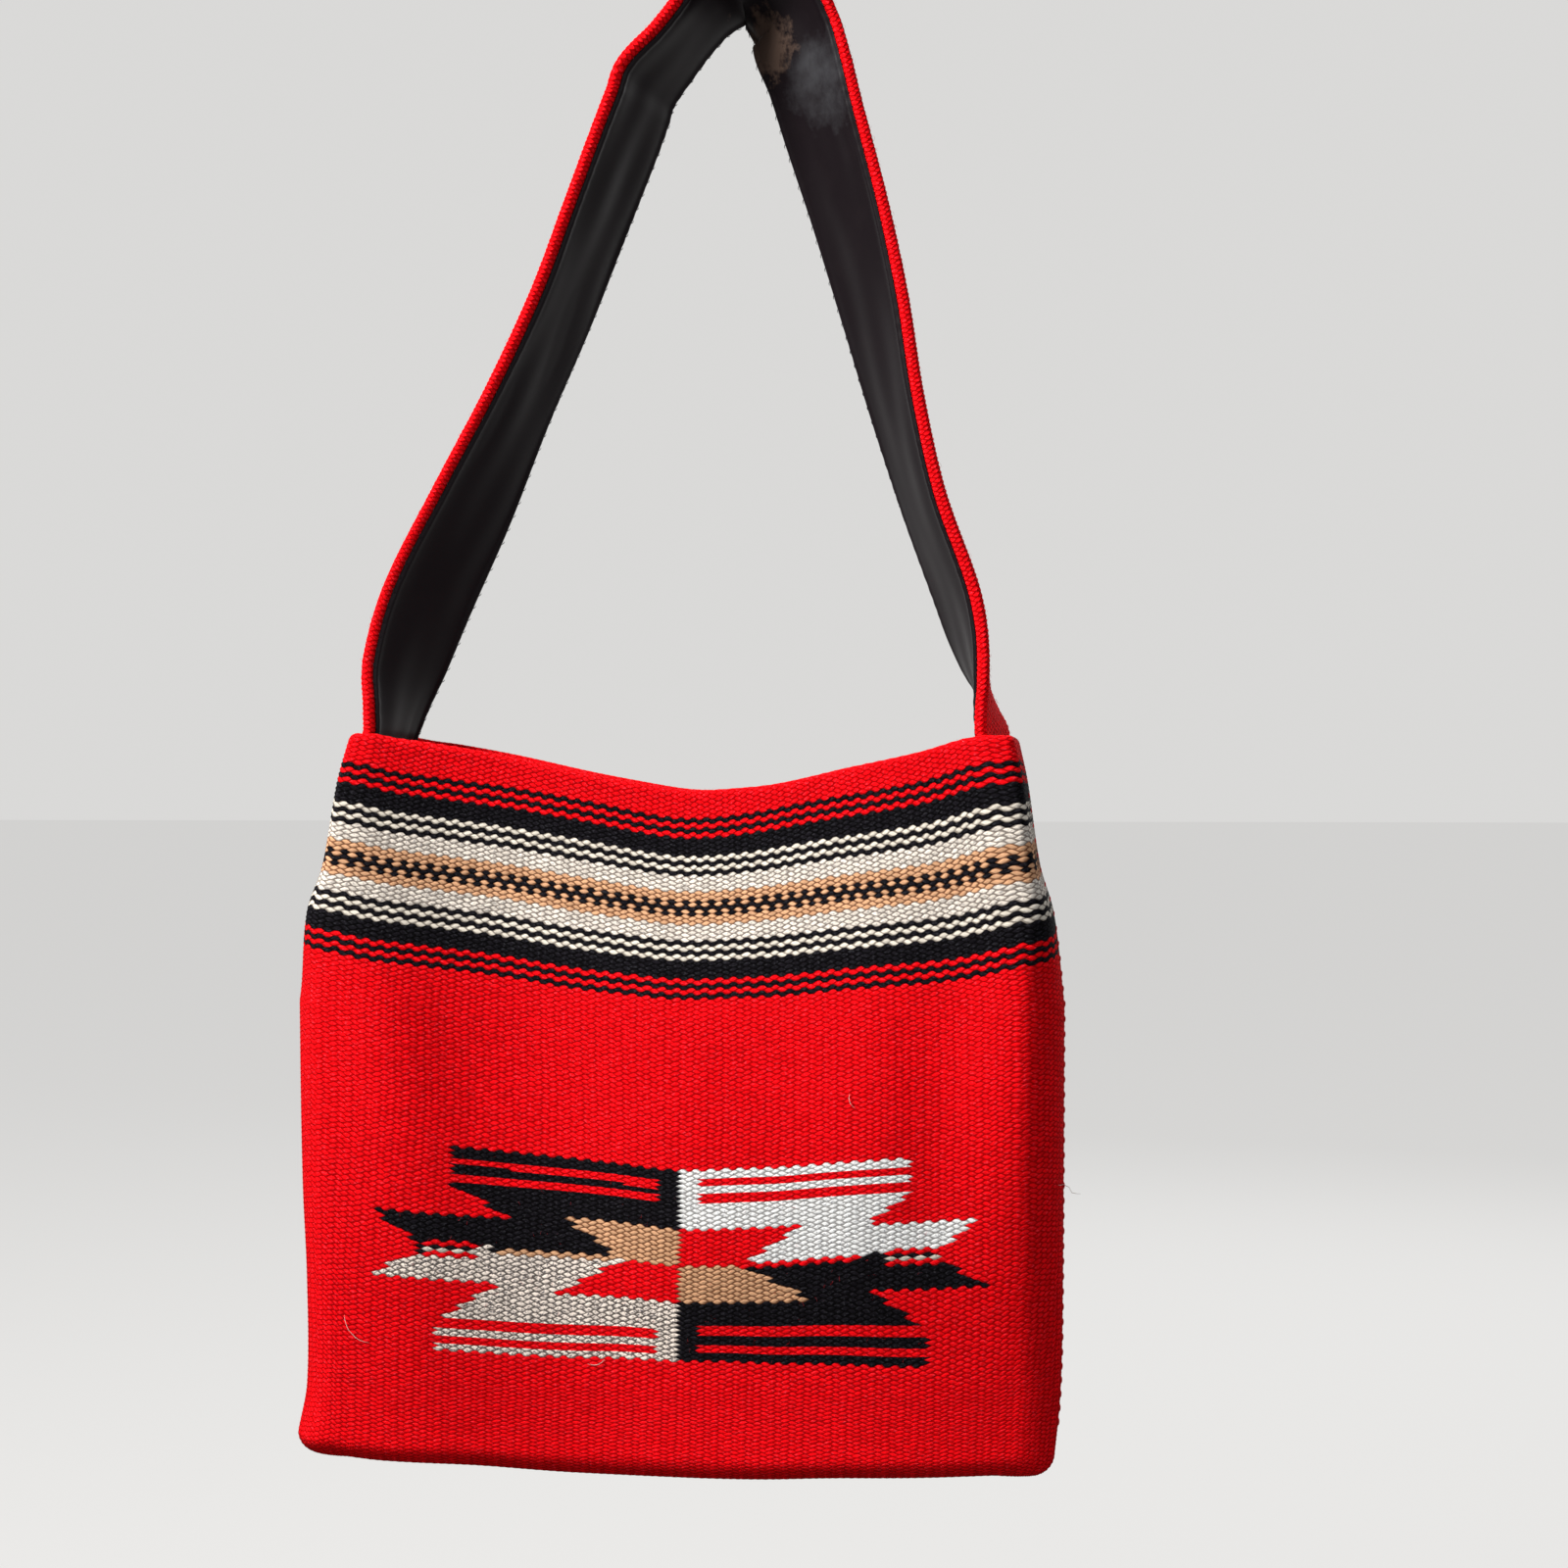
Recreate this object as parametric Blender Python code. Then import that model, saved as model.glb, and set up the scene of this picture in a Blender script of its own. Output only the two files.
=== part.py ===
"""Handwoven wool shoulder bag with a satin-lined strap, hanging by the crown of its strap.

Metres, +Z up. The origin is the point of the strap's inner face that the bag hangs from. The bag's
front faces -Y. The bag hangs a little to the left (-X) of that point, so its left strap leg is longer.
"""
import math

import bmesh
import bpy
from mathutils import Vector

# Weave: a warp is one column of beads, a pick is half the height of a bead
FRONT_WARPS = 106
PICK_PITCH = 0.00097

# Bag body, measured over the outside of the cloth
BODY_CENTRE_X = -0.022
STRAP_DROP = 0.298
BODY_HEIGHT = 0.2885
RIM_WIDTH = 0.262
BODY_WIDTH = 0.3045
BODY_DEPTH = 0.056
BODY_LEAN = 0.0037
FLARE_HEIGHT = 0.105
CLOTH = 0.0027
HEM_THICKNESS = 0.0046
HEM_HEIGHT = 0.024
RIM_CORNER = 0.011
RIM_SQUARENESS = 9.0
SIDE_ROUND = 0.024
MOUTH_PINCH = 0.0125
BOTTOM_ROUND = 0.018
BOTTOM_CORNER = 0.009
BOTTOM_FLAT = 0.014
BOTTOM_TAPER = 0.004
TAPER_START = 0.5
SIDE_SQUARENESS = 2.0
LEAST_SIDE_ROUND = 0.25

# How far the middle of a row hangs below its ends, at the rim, the stripes, the figure and the fold
RIM_SAG = 0.021
STRIPE_SAG = 0.017
FIGURE_SAG = 0.008
FOLD_SAG = 0.0040
RIM_BLUNTNESS = 0.12
LOWER_BLUNTNESS = 0.6
FOLD_LEVEL_SHARE = 0.45

# Outline of the sides: share of the widening at each share of the flare, then soft drift outwards
# at each share of the height
FLARE = ((0, 0), (0.17, 0.21), (0.48, 0.47), (0.66, 0.77), (1, 1))
SIDE_DRIFT = {
    -1: ((0.36, 0), (0.62, -0.0010), (0.75, -0.0023), (0.90, -0.0020), (0.97, 0.0018)),
    1: ((0.36, 0), (0.80, -0.0008), (0.90, -0.0018), (0.97, -0.0038)),
}

# Strap: a flat wool band, folded at both edges, with a satin strip on its inner face
STRAP_WIDTH = 0.046
STRAP_THICKNESS = 0.0048
STRAP_CROWN = 0.0004
STRAP_TUCK = 0.021
STRAP_SEAT = 0.0010
STRAP_EDGE_ROOM = 0.0014
SATIN = 0.0005
STRAP_LINING_MARGIN = 0.0012

# Lining bag: satin, sewn in below the hem
LINING_TOP = 0.015
LINING_EASE = 0.0030
LINING_FLOOR_GAP = 0.0012

# Clearance between pieces that touch
GAP = 0.0003

# Mesh fineness
FRONT_COLUMNS = 22
SIDE_COLUMNS = 6
LINING_COLUMNS = 10
PLAIN_ROWS = 3
INNER_ROWS = 4
FOLD_ROWS = 5
INNER_FOLD_SHARES = (0.5, 0.8, 1.0)
RIM_TURNS = (0, 40, 90, 140, 180)
STRAP_STEPS = 3
STRAP_EDGE_STEPS = 3

# Route of each strap leg, from the crown down: share of the drop, bow outwards, tilt in degrees.
# The tilt turns the band's back edge towards the middle of the loop.
CROWN_TILT = 27.0
LEFT_LEG = (
    (0.024, 0.0100, 27),
    (0.064, 0.0140, 27),
    (0.127, 0.0170, 28),
    (0.200, 0.0175, 24),
    (0.300, 0.0148, 20),
    (0.425, 0.0118, 19),
    (0.556, 0.0108, 22),
    (0.690, 0.0108, 32),
    (0.816, 0.0114, 37),
    (0.900, 0.0090, 33),
    (0.960, 0.0052, 20),
    (1.000, 0.0000, 0),
)
RIGHT_LEG = (
    (0.030, 0.0135, 32),
    (0.088, 0.0144, 43),
    (0.179, 0.0128, 46),
    (0.306, 0.0114, 42),
    (0.430, 0.0088, 36),
    (0.561, 0.0048, 27),
    (0.691, 0.0028, 21),
    (0.812, 0.0040, 21),
    (0.880, 0.0036, 20),
    (0.950, 0.0024, 5),
    (1.000, 0.0000, 0),
)

# Soft drag folds of the front. Shares of the body's half width and height: centre across, centre
# down, reach across, reach down; then the height in metres and the slant
FRONT_FOLDS = (
    (-0.58, 0.42, 0.145, 0.21, -0.0022, 0.25),
    (-0.80, 0.37, 0.120, 0.21, 0.0016, 0.30),
    (0.57, 0.44, 0.130, 0.19, -0.0018, -0.15),
    (0.78, 0.46, 0.105, 0.21, 0.0014, -0.10),
    (-0.07, 0.82, 0.790, 0.10, -0.0014, 0.00),
)

# Stripes from the rim down: yarn and height in picks; the cloth below them is red
STRIPES = (
    ("red", 12), ("black", 2), ("red", 2), ("black", 2), ("red", 2),
    ("black", 6), ("white", 2), ("black", 2), ("white", 2), ("black", 2),
    ("heather", 7), ("tan", 4), ("check", 6), ("tan", 4), ("heather", 7),
    ("black", 2), ("white", 2), ("black", 2), ("white", 2), ("black", 6),
    ("red", 2), ("black", 2), ("red", 2), ("black", 2),
)

# Figure on the front, in warps across and picks up or down from its centre. All four quarters share
# these edges: two striped bars beside a spine, a body with a notch, an arm with a tip, and a heart.
FIGURE_CENTRE_ACROSS = 0.0015
FIGURE_ABOVE_FOLD = 0.0895
FIGURE_BARS = ((41, 37), (33, 29))
BAR_LENGTH = 32
SPINE = 3
BODY_TOP = 25.5
HEART_TOP = 14
ARM_FOOT = 3
NOTCH_EDGE = ((0, 26), (ARM_FOOT, 28.9), (HEART_TOP, 24.7), (BODY_TOP, 31.5), (29, BAR_LENGTH))
TIP_EDGE = ((0, 36), (ARM_FOOT, 37.3), (HEART_TOP, 42))
HEART_EDGE = ((0, 9), (HEART_TOP, 15.5))
QUARTERS = {
    (-1, -1): ("black", "tan"),
    (1, -1): ("heather", "red"),
    (-1, 1): ("grey", "red"),
    (1, 1): ("black", "tan"),
}
FIGURE_FADE = 20

# Columns of the front's mesh, from its middle, that follow the figure's edges
SPINE_COLUMN = 1
HEART_COLUMN = 3
NOTCH_COLUMN = 6
TIP_COLUMN = 8

# Yarn and satin colours, linear
COLOURS = {
    "red": (0.56, 0.006, 0.010, 1),
    "black": (0.010, 0.009, 0.011, 1),
    "white": (0.62, 0.53, 0.44, 1),
    "heather": (0.46, 0.41, 0.34, 1),
    "grey": (0.30, 0.27, 0.24, 1),
    "tan": (0.46, 0.24, 0.13, 1),
    "check": (0.20, 0.11, 0.06, 1),
}
SATIN_COLOUR = (0.012, 0.011, 0.013, 1)
WOOL_ROUGHNESS = 0.9
SATIN_ROUGHNESS = 0.35

RIM_Z = -STRAP_DROP
WARP_PITCH = BODY_WIDTH / FRONT_WARPS
FIGURE_CENTRE_DOWN = BODY_HEIGHT - FIGURE_ABOVE_FOLD
STRIPES_HEIGHT = sum(picks for _, picks in STRIPES) * PICK_PITCH
RIM_DEPTH = STRAP_WIDTH + 2 * (HEM_THICKNESS + STRAP_EDGE_ROOM)
STRAP_STACK = SATIN + GAP + STRAP_THICKNESS + STRAP_CROWN
STRAP_BASE_REACH = RIM_WIDTH / 2 - HEM_THICKNESS - STRAP_SEAT - STRAP_STACK


def clear_scene():
    for thing in list(bpy.data.objects):
        bpy.data.objects.remove(thing, do_unlink=True)


def principled(name, colour, roughness):
    material = bpy.data.materials.new(name)
    material.use_nodes = True
    shader = material.node_tree.nodes["Principled BSDF"]
    shader.inputs["Base Color"].default_value = colour
    shader.inputs["Roughness"].default_value = roughness
    material.diffuse_color = colour
    return material


def ease(share):
    share = min(max(share, 0.0), 1.0)
    return share * share * (3 - 2 * share)


def mix(first, last, share):
    return first + (last - first) * share


def curve_through(knots, position):
    """Value of a smooth curve through knots (position, value), by cubic Hermite pieces."""
    if position <= knots[0][0]:
        return knots[0][1]
    if position >= knots[-1][0]:
        return knots[-1][1]
    index = next(i for i in range(len(knots) - 1) if position <= knots[i + 1][0])
    (p0, v0), (p1, v1) = knots[index], knots[index + 1]
    before = knots[max(index - 1, 0)]
    after = knots[min(index + 2, len(knots) - 1)]
    slope0 = (v1 - before[1]) / (p1 - before[0])
    slope1 = (after[1] - v0) / (after[0] - p0)
    length = p1 - p0
    s = (position - p0) / length
    return ((2 * s ** 3 - 3 * s ** 2 + 1) * v0 + (s ** 3 - 2 * s ** 2 + s) * length * slope0
            + (3 * s ** 2 - 2 * s ** 3) * v1 + (s ** 3 - s ** 2) * length * slope1)


def half_width(drop, side):
    """Half width of the body at a drop below the rim; side is -1 on the left and 1 on the right."""
    full = BODY_WIDTH / 2 - side * BODY_LEAN
    width = mix(RIM_WIDTH / 2, full, curve_through(FLARE, drop / FLARE_HEIGHT))
    width += curve_through(SIDE_DRIFT[side], drop / BODY_HEIGHT)
    corner = max(0.0, 1 - (BODY_HEIGHT - drop) / BOTTOM_CORNER)
    return width - BOTTOM_CORNER * (1 - math.sqrt(1 - corner ** 2))


def half_depth(drop):
    depth = mix(RIM_DEPTH, BODY_DEPTH, ease(drop / FLARE_HEIGHT)) / 2
    depth -= BOTTOM_TAPER * ease((drop / BODY_HEIGHT - TAPER_START) / (1 - TAPER_START))
    turn = max(0.0, 1 - (BODY_HEIGHT - drop) / BOTTOM_ROUND)
    return mix(BOTTOM_FLAT / 2, depth, math.sqrt(1 - turn ** 2))


def sag(drop, across):
    """How far a row of the weave hangs lower at a place than at the sides; across is 0 to 1."""
    depth = curve_through(((0.0, RIM_SAG), (STRIPES_HEIGHT, STRIPE_SAG),
                           (FIGURE_CENTRE_DOWN, FIGURE_SAG), (BODY_HEIGHT, FOLD_SAG)), drop)
    blunt = mix(RIM_BLUNTNESS, LOWER_BLUNTNESS, ease(drop / STRIPES_HEIGHT))
    pointed = 1 - (math.hypot(across, blunt) - blunt) / (math.hypot(1, blunt) - blunt)
    rise = max(0.0, (across - FOLD_LEVEL_SHARE) / (1 - FOLD_LEVEL_SHARE))
    near_fold = ease((drop - FIGURE_CENTRE_DOWN) / FIGURE_ABOVE_FOLD)
    return depth * mix(pointed, 1 - rise ** 2, near_fold)


def front_relief(across, drop):
    """Outward bulge of the soft folds at a distance across from the middle and down from the rim."""
    relief = 0.0
    half = BODY_WIDTH / 2
    for centre, down, reach_across, reach_down, height, slant in FRONT_FOLDS:
        below = drop - down * BODY_HEIGHT
        dx = (across - centre * half - slant * below) / (reach_across * half)
        dz = below / (reach_down * BODY_HEIGHT)
        relief += height * math.exp(-dx * dx - dz * dz)
    return relief * ease((BODY_HEIGHT - drop) / (2 * BOTTOM_ROUND))


def side_arc(depth, reach, squareness, steps):
    """Points of a bag's side from front to back: (outwards, back)."""
    points = []
    for i in range(steps + 1):
        angle = math.pi * (i / steps - 0.5)
        out = reach * abs(math.cos(angle)) ** (2 / squareness)
        back = math.copysign(depth * abs(math.sin(angle)) ** (2 / squareness), angle)
        points.append((out, back))
    return points


def ring(drop, inset, columns, side_inset=0.0, follow_folds=True):
    """One closed row of the body: front left to right, right side, back right to left, left side."""
    depth = half_depth(drop) - inset
    boxy = 1 - ease(drop / FLARE_HEIGHT)
    corner = mix(SIDE_ROUND, RIM_CORNER, boxy)
    reach = max(corner - inset, depth * LEAST_SIDE_ROUND)
    arc = side_arc(depth, reach, mix(SIDE_SQUARENESS, RIM_SQUARENESS, boxy), SIDE_COLUMNS)
    left = half_width(drop, -1) - inset - side_inset - reach
    right = half_width(drop, 1) - inset - side_inset - reach
    flat = [mix(-left, right, i / columns) for i in range(columns + 1)]
    front = front_columns(drop, left, right) if inset == 0 else flat
    plan = [(x, -depth) for x in front[:-1]]
    plan += [(right + out, back) for out, back in arc[:-1]]
    plan += [(x, depth) for x in reversed(flat[1:])]
    plan += [(-left - out, back) for out, back in reversed(arc[1:])]
    pinch = MOUTH_PINCH * boxy / depth
    points = []
    for x, y in plan:
        across = min(1.0, abs(x) / (half_width(drop, 1 if x > 0 else -1) - corner))
        y *= 1 - pinch * (1 - across ** 2)
        if y < 0 and follow_folds:
            y -= front_relief(x, drop) * abs(y) / depth
        points.append(Vector((BODY_CENTRE_X + x, y, RIM_Z - drop - sag(drop, across))))
    return points


def cap(build, row, leftmost):
    """Closes a row with faces from front to back, or with one face where no leftmost point is given."""
    if leftmost is None:
        build.faces.new(row)
        return
    half = len(row) // 2
    front = [row[(leftmost + k) % len(row)] for k in range(half + 1)]
    back = [row[(leftmost - k) % len(row)] for k in range(half + 1)]
    for k in range(half):
        corners = (front[k], front[k + 1], back[k + 1], back[k])
        build.faces.new(list(dict.fromkeys(corners)))


def loft(name, rings, collection, leftmost=None, split=False):
    """A closed body through rings with equal counts, capped at both ends.

    With split, each quad is two triangles. A ring's second half runs back over its first, so it is cut
    the other way, and two thin twisted skins stay parallel.
    """
    mesh = bpy.data.meshes.new(name)
    build = bmesh.new()
    rows = [[build.verts.new(point) for point in points] for points in rings]
    for lower, upper in zip(rows, rows[1:]):
        for i in range(len(lower)):
            j = (i + 1) % len(lower)
            corners = (lower[i], lower[j], upper[j], upper[i])
            if not split:
                build.faces.new(corners)
                continue
            first = 0 if i < len(lower) // 2 else 1
            a, b, c, d = corners[first:] + corners[:first]
            build.faces.new((a, b, c))
            build.faces.new((a, c, d))
    cap(build, rows[0], leftmost)
    cap(build, rows[-1], leftmost)
    bmesh.ops.recalc_face_normals(build, faces=build.faces)
    build.to_mesh(mesh)
    build.free()
    thing = bpy.data.objects.new(name, mesh)
    collection.objects.link(thing)
    mesh.shade_smooth()
    return thing


def leftmost_point(columns):
    """Where the left end of a row of the body stands in its ring."""
    return 2 * columns + SIDE_COLUMNS + SIDE_COLUMNS // 2


def outer_drops():
    """Drops of the body's rows: one at each stripe's edge, then wider, and close at the bottom."""
    drops = []
    edge = 0
    for _, picks in STRIPES:
        edge += picks
        drops.append(edge * PICK_PITCH)
    levels = [level for bar in FIGURE_BARS for level in bar] + [BODY_TOP, HEART_TOP, ARM_FOOT]
    levels = [-level for level in levels] + [0] + list(reversed(levels))
    figure = [FIGURE_CENTRE_DOWN + level * PICK_PITCH for level in levels]
    drops += [mix(drops[-1], figure[0], row / PLAIN_ROWS) for row in range(1, PLAIN_ROWS)]
    drops += figure
    turn = BODY_HEIGHT - BOTTOM_ROUND
    drops += [mix(figure[-1], turn, 0.5)]
    angles = [math.pi / 2 * i / FOLD_ROWS for i in range(FOLD_ROWS + 1)]
    drops += [turn + BOTTOM_ROUND * math.sin(angle) for angle in angles]
    return drops


def linear_through(knots, position):
    """Value of straight pieces through knots (position, value), level beyond both ends."""
    for (p0, v0), (p1, v1) in zip(knots, knots[1:]):
        if position <= p1:
            return mix(v0, v1, max(0.0, (position - p0) / (p1 - p0)))
    return knots[-1][1]


def figure_yarn(column, row):
    """Which yarn the figure shows at a place counted from its centre, or None outside it."""
    yarn, heart = QUARTERS[(1 if column > 0 else -1, 1 if row > 0 else -1)]
    across = abs(column)
    level = abs(row)
    if level > FIGURE_BARS[0][0]:
        return None
    if level > HEART_TOP and across < SPINE:
        return yarn
    if level > BODY_TOP:
        in_bar = any(high > level > low for high, low in FIGURE_BARS)
        return yarn if in_bar and across < BAR_LENGTH else None
    if level <= HEART_TOP and across < linear_through(HEART_EDGE, level):
        return heart
    on_arm = ARM_FOOT < level < HEART_TOP
    return yarn if across < linear_through(TIP_EDGE if on_arm else NOTCH_EDGE, level) else None


def front_columns(drop, left, right):
    """Places of the front's columns: even, but along the figure's own edges where it shows."""
    half = FRONT_COLUMNS // 2
    even = [mix(-left, right, i / FRONT_COLUMNS) for i in range(FRONT_COLUMNS + 1)]
    level = abs(drop - FIGURE_CENTRE_DOWN) / PICK_PITCH
    fitted = ease(1 - (level - FIGURE_BARS[0][0]) / FIGURE_FADE)
    places = []
    for i, place in enumerate(even):
        side = 1 if i > half else -1
        reach = (right if side > 0 else left) - side * FIGURE_CENTRE_ACROSS
        keys = ((0, 0), (SPINE_COLUMN, SPINE), (HEART_COLUMN, linear_through(HEART_EDGE, level)),
                (NOTCH_COLUMN, linear_through(NOTCH_EDGE, level)),
                (TIP_COLUMN, linear_through(TIP_EDGE, level)), (half, reach / WARP_PITCH))
        across = FIGURE_CENTRE_ACROSS + side * linear_through(keys, abs(i - half)) * WARP_PITCH
        places.append(mix(place, across, fitted))
    return places


def yarn_at(across, drop, on_front):
    """Which yarn shows at a place of the woven panel."""
    edge = 0
    for yarn, picks in STRIPES:
        edge += picks
        if drop < edge * PICK_PITCH:
            return yarn
    if not on_front:
        return "red"
    column = (across - FIGURE_CENTRE_ACROSS) / WARP_PITCH
    row = (drop - FIGURE_CENTRE_DOWN) / PICK_PITCH
    return figure_yarn(column, row) or "red"


def rim_turn():
    """The rounded top edge of the hem, from outside to inside: drop and inset."""
    radius = HEM_THICKNESS / 2
    turns = [math.radians(angle) for angle in RIM_TURNS]
    return [(radius - radius * math.sin(turn), radius - radius * math.cos(turn)) for turn in turns]


def inner_path(top, hem_inset, inset, floor_gap):
    """Rows of an inner face, from its top edge down to its floor: drop and inset."""
    below_hem = HEM_HEIGHT + HEM_THICKNESS - CLOTH
    floor = BODY_HEIGHT - floor_gap
    straight = BODY_HEIGHT - BOTTOM_ROUND
    path = [(top, hem_inset), (HEM_HEIGHT, hem_inset), (below_hem, inset)]
    path += [(mix(below_hem, straight, i / INNER_ROWS), inset) for i in range(1, INNER_ROWS + 1)]
    path += [(mix(straight, floor, share), inset) for share in INNER_FOLD_SHARES]
    return path


def bag_body(collection, yarns):
    """The woven panel: folded at the bottom, sewn round the sides, its top turned in as a hem."""
    drops = outer_drops()
    path = [(drop, 0.0) for drop in reversed(drops)] + rim_turn()
    path += inner_path(HEM_HEIGHT / 2, HEM_THICKNESS, CLOTH, CLOTH)
    rings = [ring(drop, inset, FRONT_COLUMNS) for drop, inset in path]
    thing = loft("bag_body", rings, collection, leftmost_point(FRONT_COLUMNS))
    names = list(yarns)
    for name in names:
        thing.data.materials.append(yarns[name])
    around = len(rings[0])
    for face in thing.data.polygons:
        band = face.index // around
        column = face.index % around
        if band >= len(drops):
            continue
        low = path[band][0]
        high = path[band + 1][0]
        on_front = column < FRONT_COLUMNS
        yarn = yarn_at(face.center.x - BODY_CENTRE_X, (low + high) / 2, on_front)
        face.material_index = names.index(yarn)
    return thing


def bag_lining(collection, satin):
    """A thin satin bag inside the woven one, open at the top, hanging from the hem."""
    flare_at_tuck = half_width(STRAP_TUCK + GAP, -1) - RIM_WIDTH / 2
    side_inset = STRAP_SEAT + STRAP_STACK + GAP + flare_at_tuck
    inset = CLOTH + LINING_EASE
    hem_inset = HEM_THICKNESS + GAP
    floor_gap = CLOTH + LINING_FLOOR_GAP
    outside = inner_path(LINING_TOP, hem_inset, inset, floor_gap)
    within = inner_path(LINING_TOP, hem_inset + SATIN, inset + SATIN, floor_gap + SATIN)
    rings = []
    for drop, depth in list(reversed(outside)) + within:
        rings.append(ring(drop, depth, LINING_COLUMNS, side_inset, False))
    thing = loft("bag_lining", rings, collection, leftmost_point(LINING_COLUMNS))
    thing.data.materials.append(satin)
    return thing


def strap_route():
    """Centre line of the strap's inner face from the left end to the right: x, z and tilt."""
    knots = [(0.0, 0.0, CROWN_TILT)]
    for leg, side in ((LEFT_LEG, -1), (RIGHT_LEG, 1)):
        base_x = BODY_CENTRE_X + side * STRAP_BASE_REACH
        points = [(base_x * share + side * bow, RIM_Z * share, tilt) for share, bow, tilt in leg]
        points.append((base_x, RIM_Z - STRAP_TUCK, 0.0))
        knots = list(reversed(points)) + knots if side < 0 else knots + points
    travelled = [0.0]
    for first, second in zip(knots, knots[1:]):
        travelled.append(travelled[-1] + math.hypot(second[0] - first[0], second[1] - first[1]))
    tracks = [[(place, knot[axis]) for place, knot in zip(travelled, knots)] for axis in range(3)]
    stations = []
    for start, end in zip(travelled, travelled[1:]):
        for step in range(STRAP_STEPS):
            place = mix(start, end, step / STRAP_STEPS)
            stations.append([curve_through(track, place) for track in tracks])
    stations.append([track[-1][1] for track in tracks])
    return stations


def strap_rings(section):
    """The section (across, outwards) carried along the strap's route."""
    stations = strap_route()
    rings = []
    for i, (x, z, tilt) in enumerate(stations):
        before = stations[max(i - 1, 0)]
        after = stations[min(i + 1, len(stations) - 1)]
        forward = Vector((after[0] - before[0], 0, after[1] - before[1])).normalized()
        inboard = Vector((forward.z, 0, -forward.x))
        back = Vector((0, 1, 0))
        turn = math.radians(tilt)
        across = inboard * math.sin(turn) + back * math.cos(turn)
        outwards = back * math.sin(turn) - inboard * math.cos(turn)
        middle = Vector((x, 0, z))
        rings.append([middle + across * w + outwards * h for w, h in section])
    return rings


def strap(collection, wool):
    """The wool band with rounded folded edges and a faint crown on its outer face."""
    radius = STRAP_THICKNESS / 2
    edge = STRAP_WIDTH / 2 - radius
    floor = SATIN + GAP
    top = floor + STRAP_THICKNESS + STRAP_CROWN
    angles = [math.pi * (step / STRAP_EDGE_STEPS - 0.5) for step in range(STRAP_EDGE_STEPS + 1)]
    fold = [(edge + radius * math.cos(angle), floor + radius * (1 + math.sin(angle))) for angle in angles]
    section = [(-edge, floor), (-edge / 2, floor), (0, floor), (edge / 2, floor)] + fold
    section += [(edge / 2, top), (-edge / 2, top)]
    section += [(-out, height) for out, height in reversed(fold[1:])]
    thing = loft("strap", strap_rings(section), collection, split=True)
    thing.data.materials.append(wool)
    return thing


def strap_lining(collection, satin):
    """The satin strip on the strap's inner face."""
    edge = STRAP_WIDTH / 2 - STRAP_LINING_MARGIN
    places = [edge * share for share in (-1, -0.5, 0, 0.5, 1)]
    section = [(place, SATIN) for place in places] + [(place, 0) for place in reversed(places)]
    thing = loft("strap_lining", strap_rings(section), collection, split=True)
    thing.data.materials.append(satin)
    return thing


def main():
    clear_scene()
    collection = bpy.data.collections.new("shoulder_bag")
    bpy.context.scene.collection.children.link(collection)
    yarns = {name: principled(name + "_wool", colour, WOOL_ROUGHNESS) for name, colour in COLOURS.items()}
    satin = principled("black_satin", SATIN_COLOUR, SATIN_ROUGHNESS)
    bag_body(collection, yarns)
    bag_lining(collection, satin)
    strap(collection, yarns["red"])
    strap_lining(collection, satin)


main()
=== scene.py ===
"""Dresses the handwoven wool shoulder bag: woven panel and strap, satin linings, stitches and loose fibres.

Metres, +Z up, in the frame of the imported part. A warp is one column of the weave's beads, and a pick
is half the height of a bead. Columns are counted in warps from the figure's middle and rows in picks
from the rim.
"""
import functools
import math

import bpy
import numpy as np
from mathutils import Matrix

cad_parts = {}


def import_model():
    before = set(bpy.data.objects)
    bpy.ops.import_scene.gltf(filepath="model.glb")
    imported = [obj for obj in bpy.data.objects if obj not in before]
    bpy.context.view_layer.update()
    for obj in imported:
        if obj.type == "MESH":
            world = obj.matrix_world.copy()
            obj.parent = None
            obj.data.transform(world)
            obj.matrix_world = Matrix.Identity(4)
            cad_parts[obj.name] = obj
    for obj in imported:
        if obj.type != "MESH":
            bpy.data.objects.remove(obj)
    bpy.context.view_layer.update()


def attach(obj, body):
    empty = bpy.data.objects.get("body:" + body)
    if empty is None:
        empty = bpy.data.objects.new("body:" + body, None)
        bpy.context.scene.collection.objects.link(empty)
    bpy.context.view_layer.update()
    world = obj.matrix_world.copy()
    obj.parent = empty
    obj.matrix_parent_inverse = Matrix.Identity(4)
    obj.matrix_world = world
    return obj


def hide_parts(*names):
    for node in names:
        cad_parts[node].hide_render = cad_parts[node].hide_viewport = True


# Camera: the photograph's frame in pixels, its focal length there, and how the bag is seen
FRAME_PX = 1600
FOCAL_PX = 2692.0
SENSOR_MM = 36.0
CAMERA_DISTANCE = 1.05
CAMERA_YAW = math.radians(7.0)
CAMERA_ACROSS = 0.01677
CAMERA_HEIGHT = -0.3163

# Weave
WARP_PITCH = 0.00283
FOLD_STRETCH = 1.032
PICK_PITCH = 0.00097
TIP_REACH = 0.25
JOIN_REACH = 0.50
TIP_TILT = 0.04
BEAD_TOP = 0.00034
BEAD_TIP = -0.00006
BEAD_GROOVE = -0.00022
BEAD_UNEVEN = 0.00009
COLUMN_WANDER = 0.10
BEAD_SLANT = 0.50
BEAD_SLANT_UNEVEN = 0.50
BEAD_NARROWING = 1.10
WANDER_WAVES = (5, 8, 0.03, 0.006)
LEFT_WARPS = 61
RIGHT_WARPS = 57
EVEN_WARPS = 46
STRAP_RELIEF = 0.55
HEM_RELIEF = ((-30, 0.5), (0, 0.55), (9, 0.75), (15, 1.0))

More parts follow.
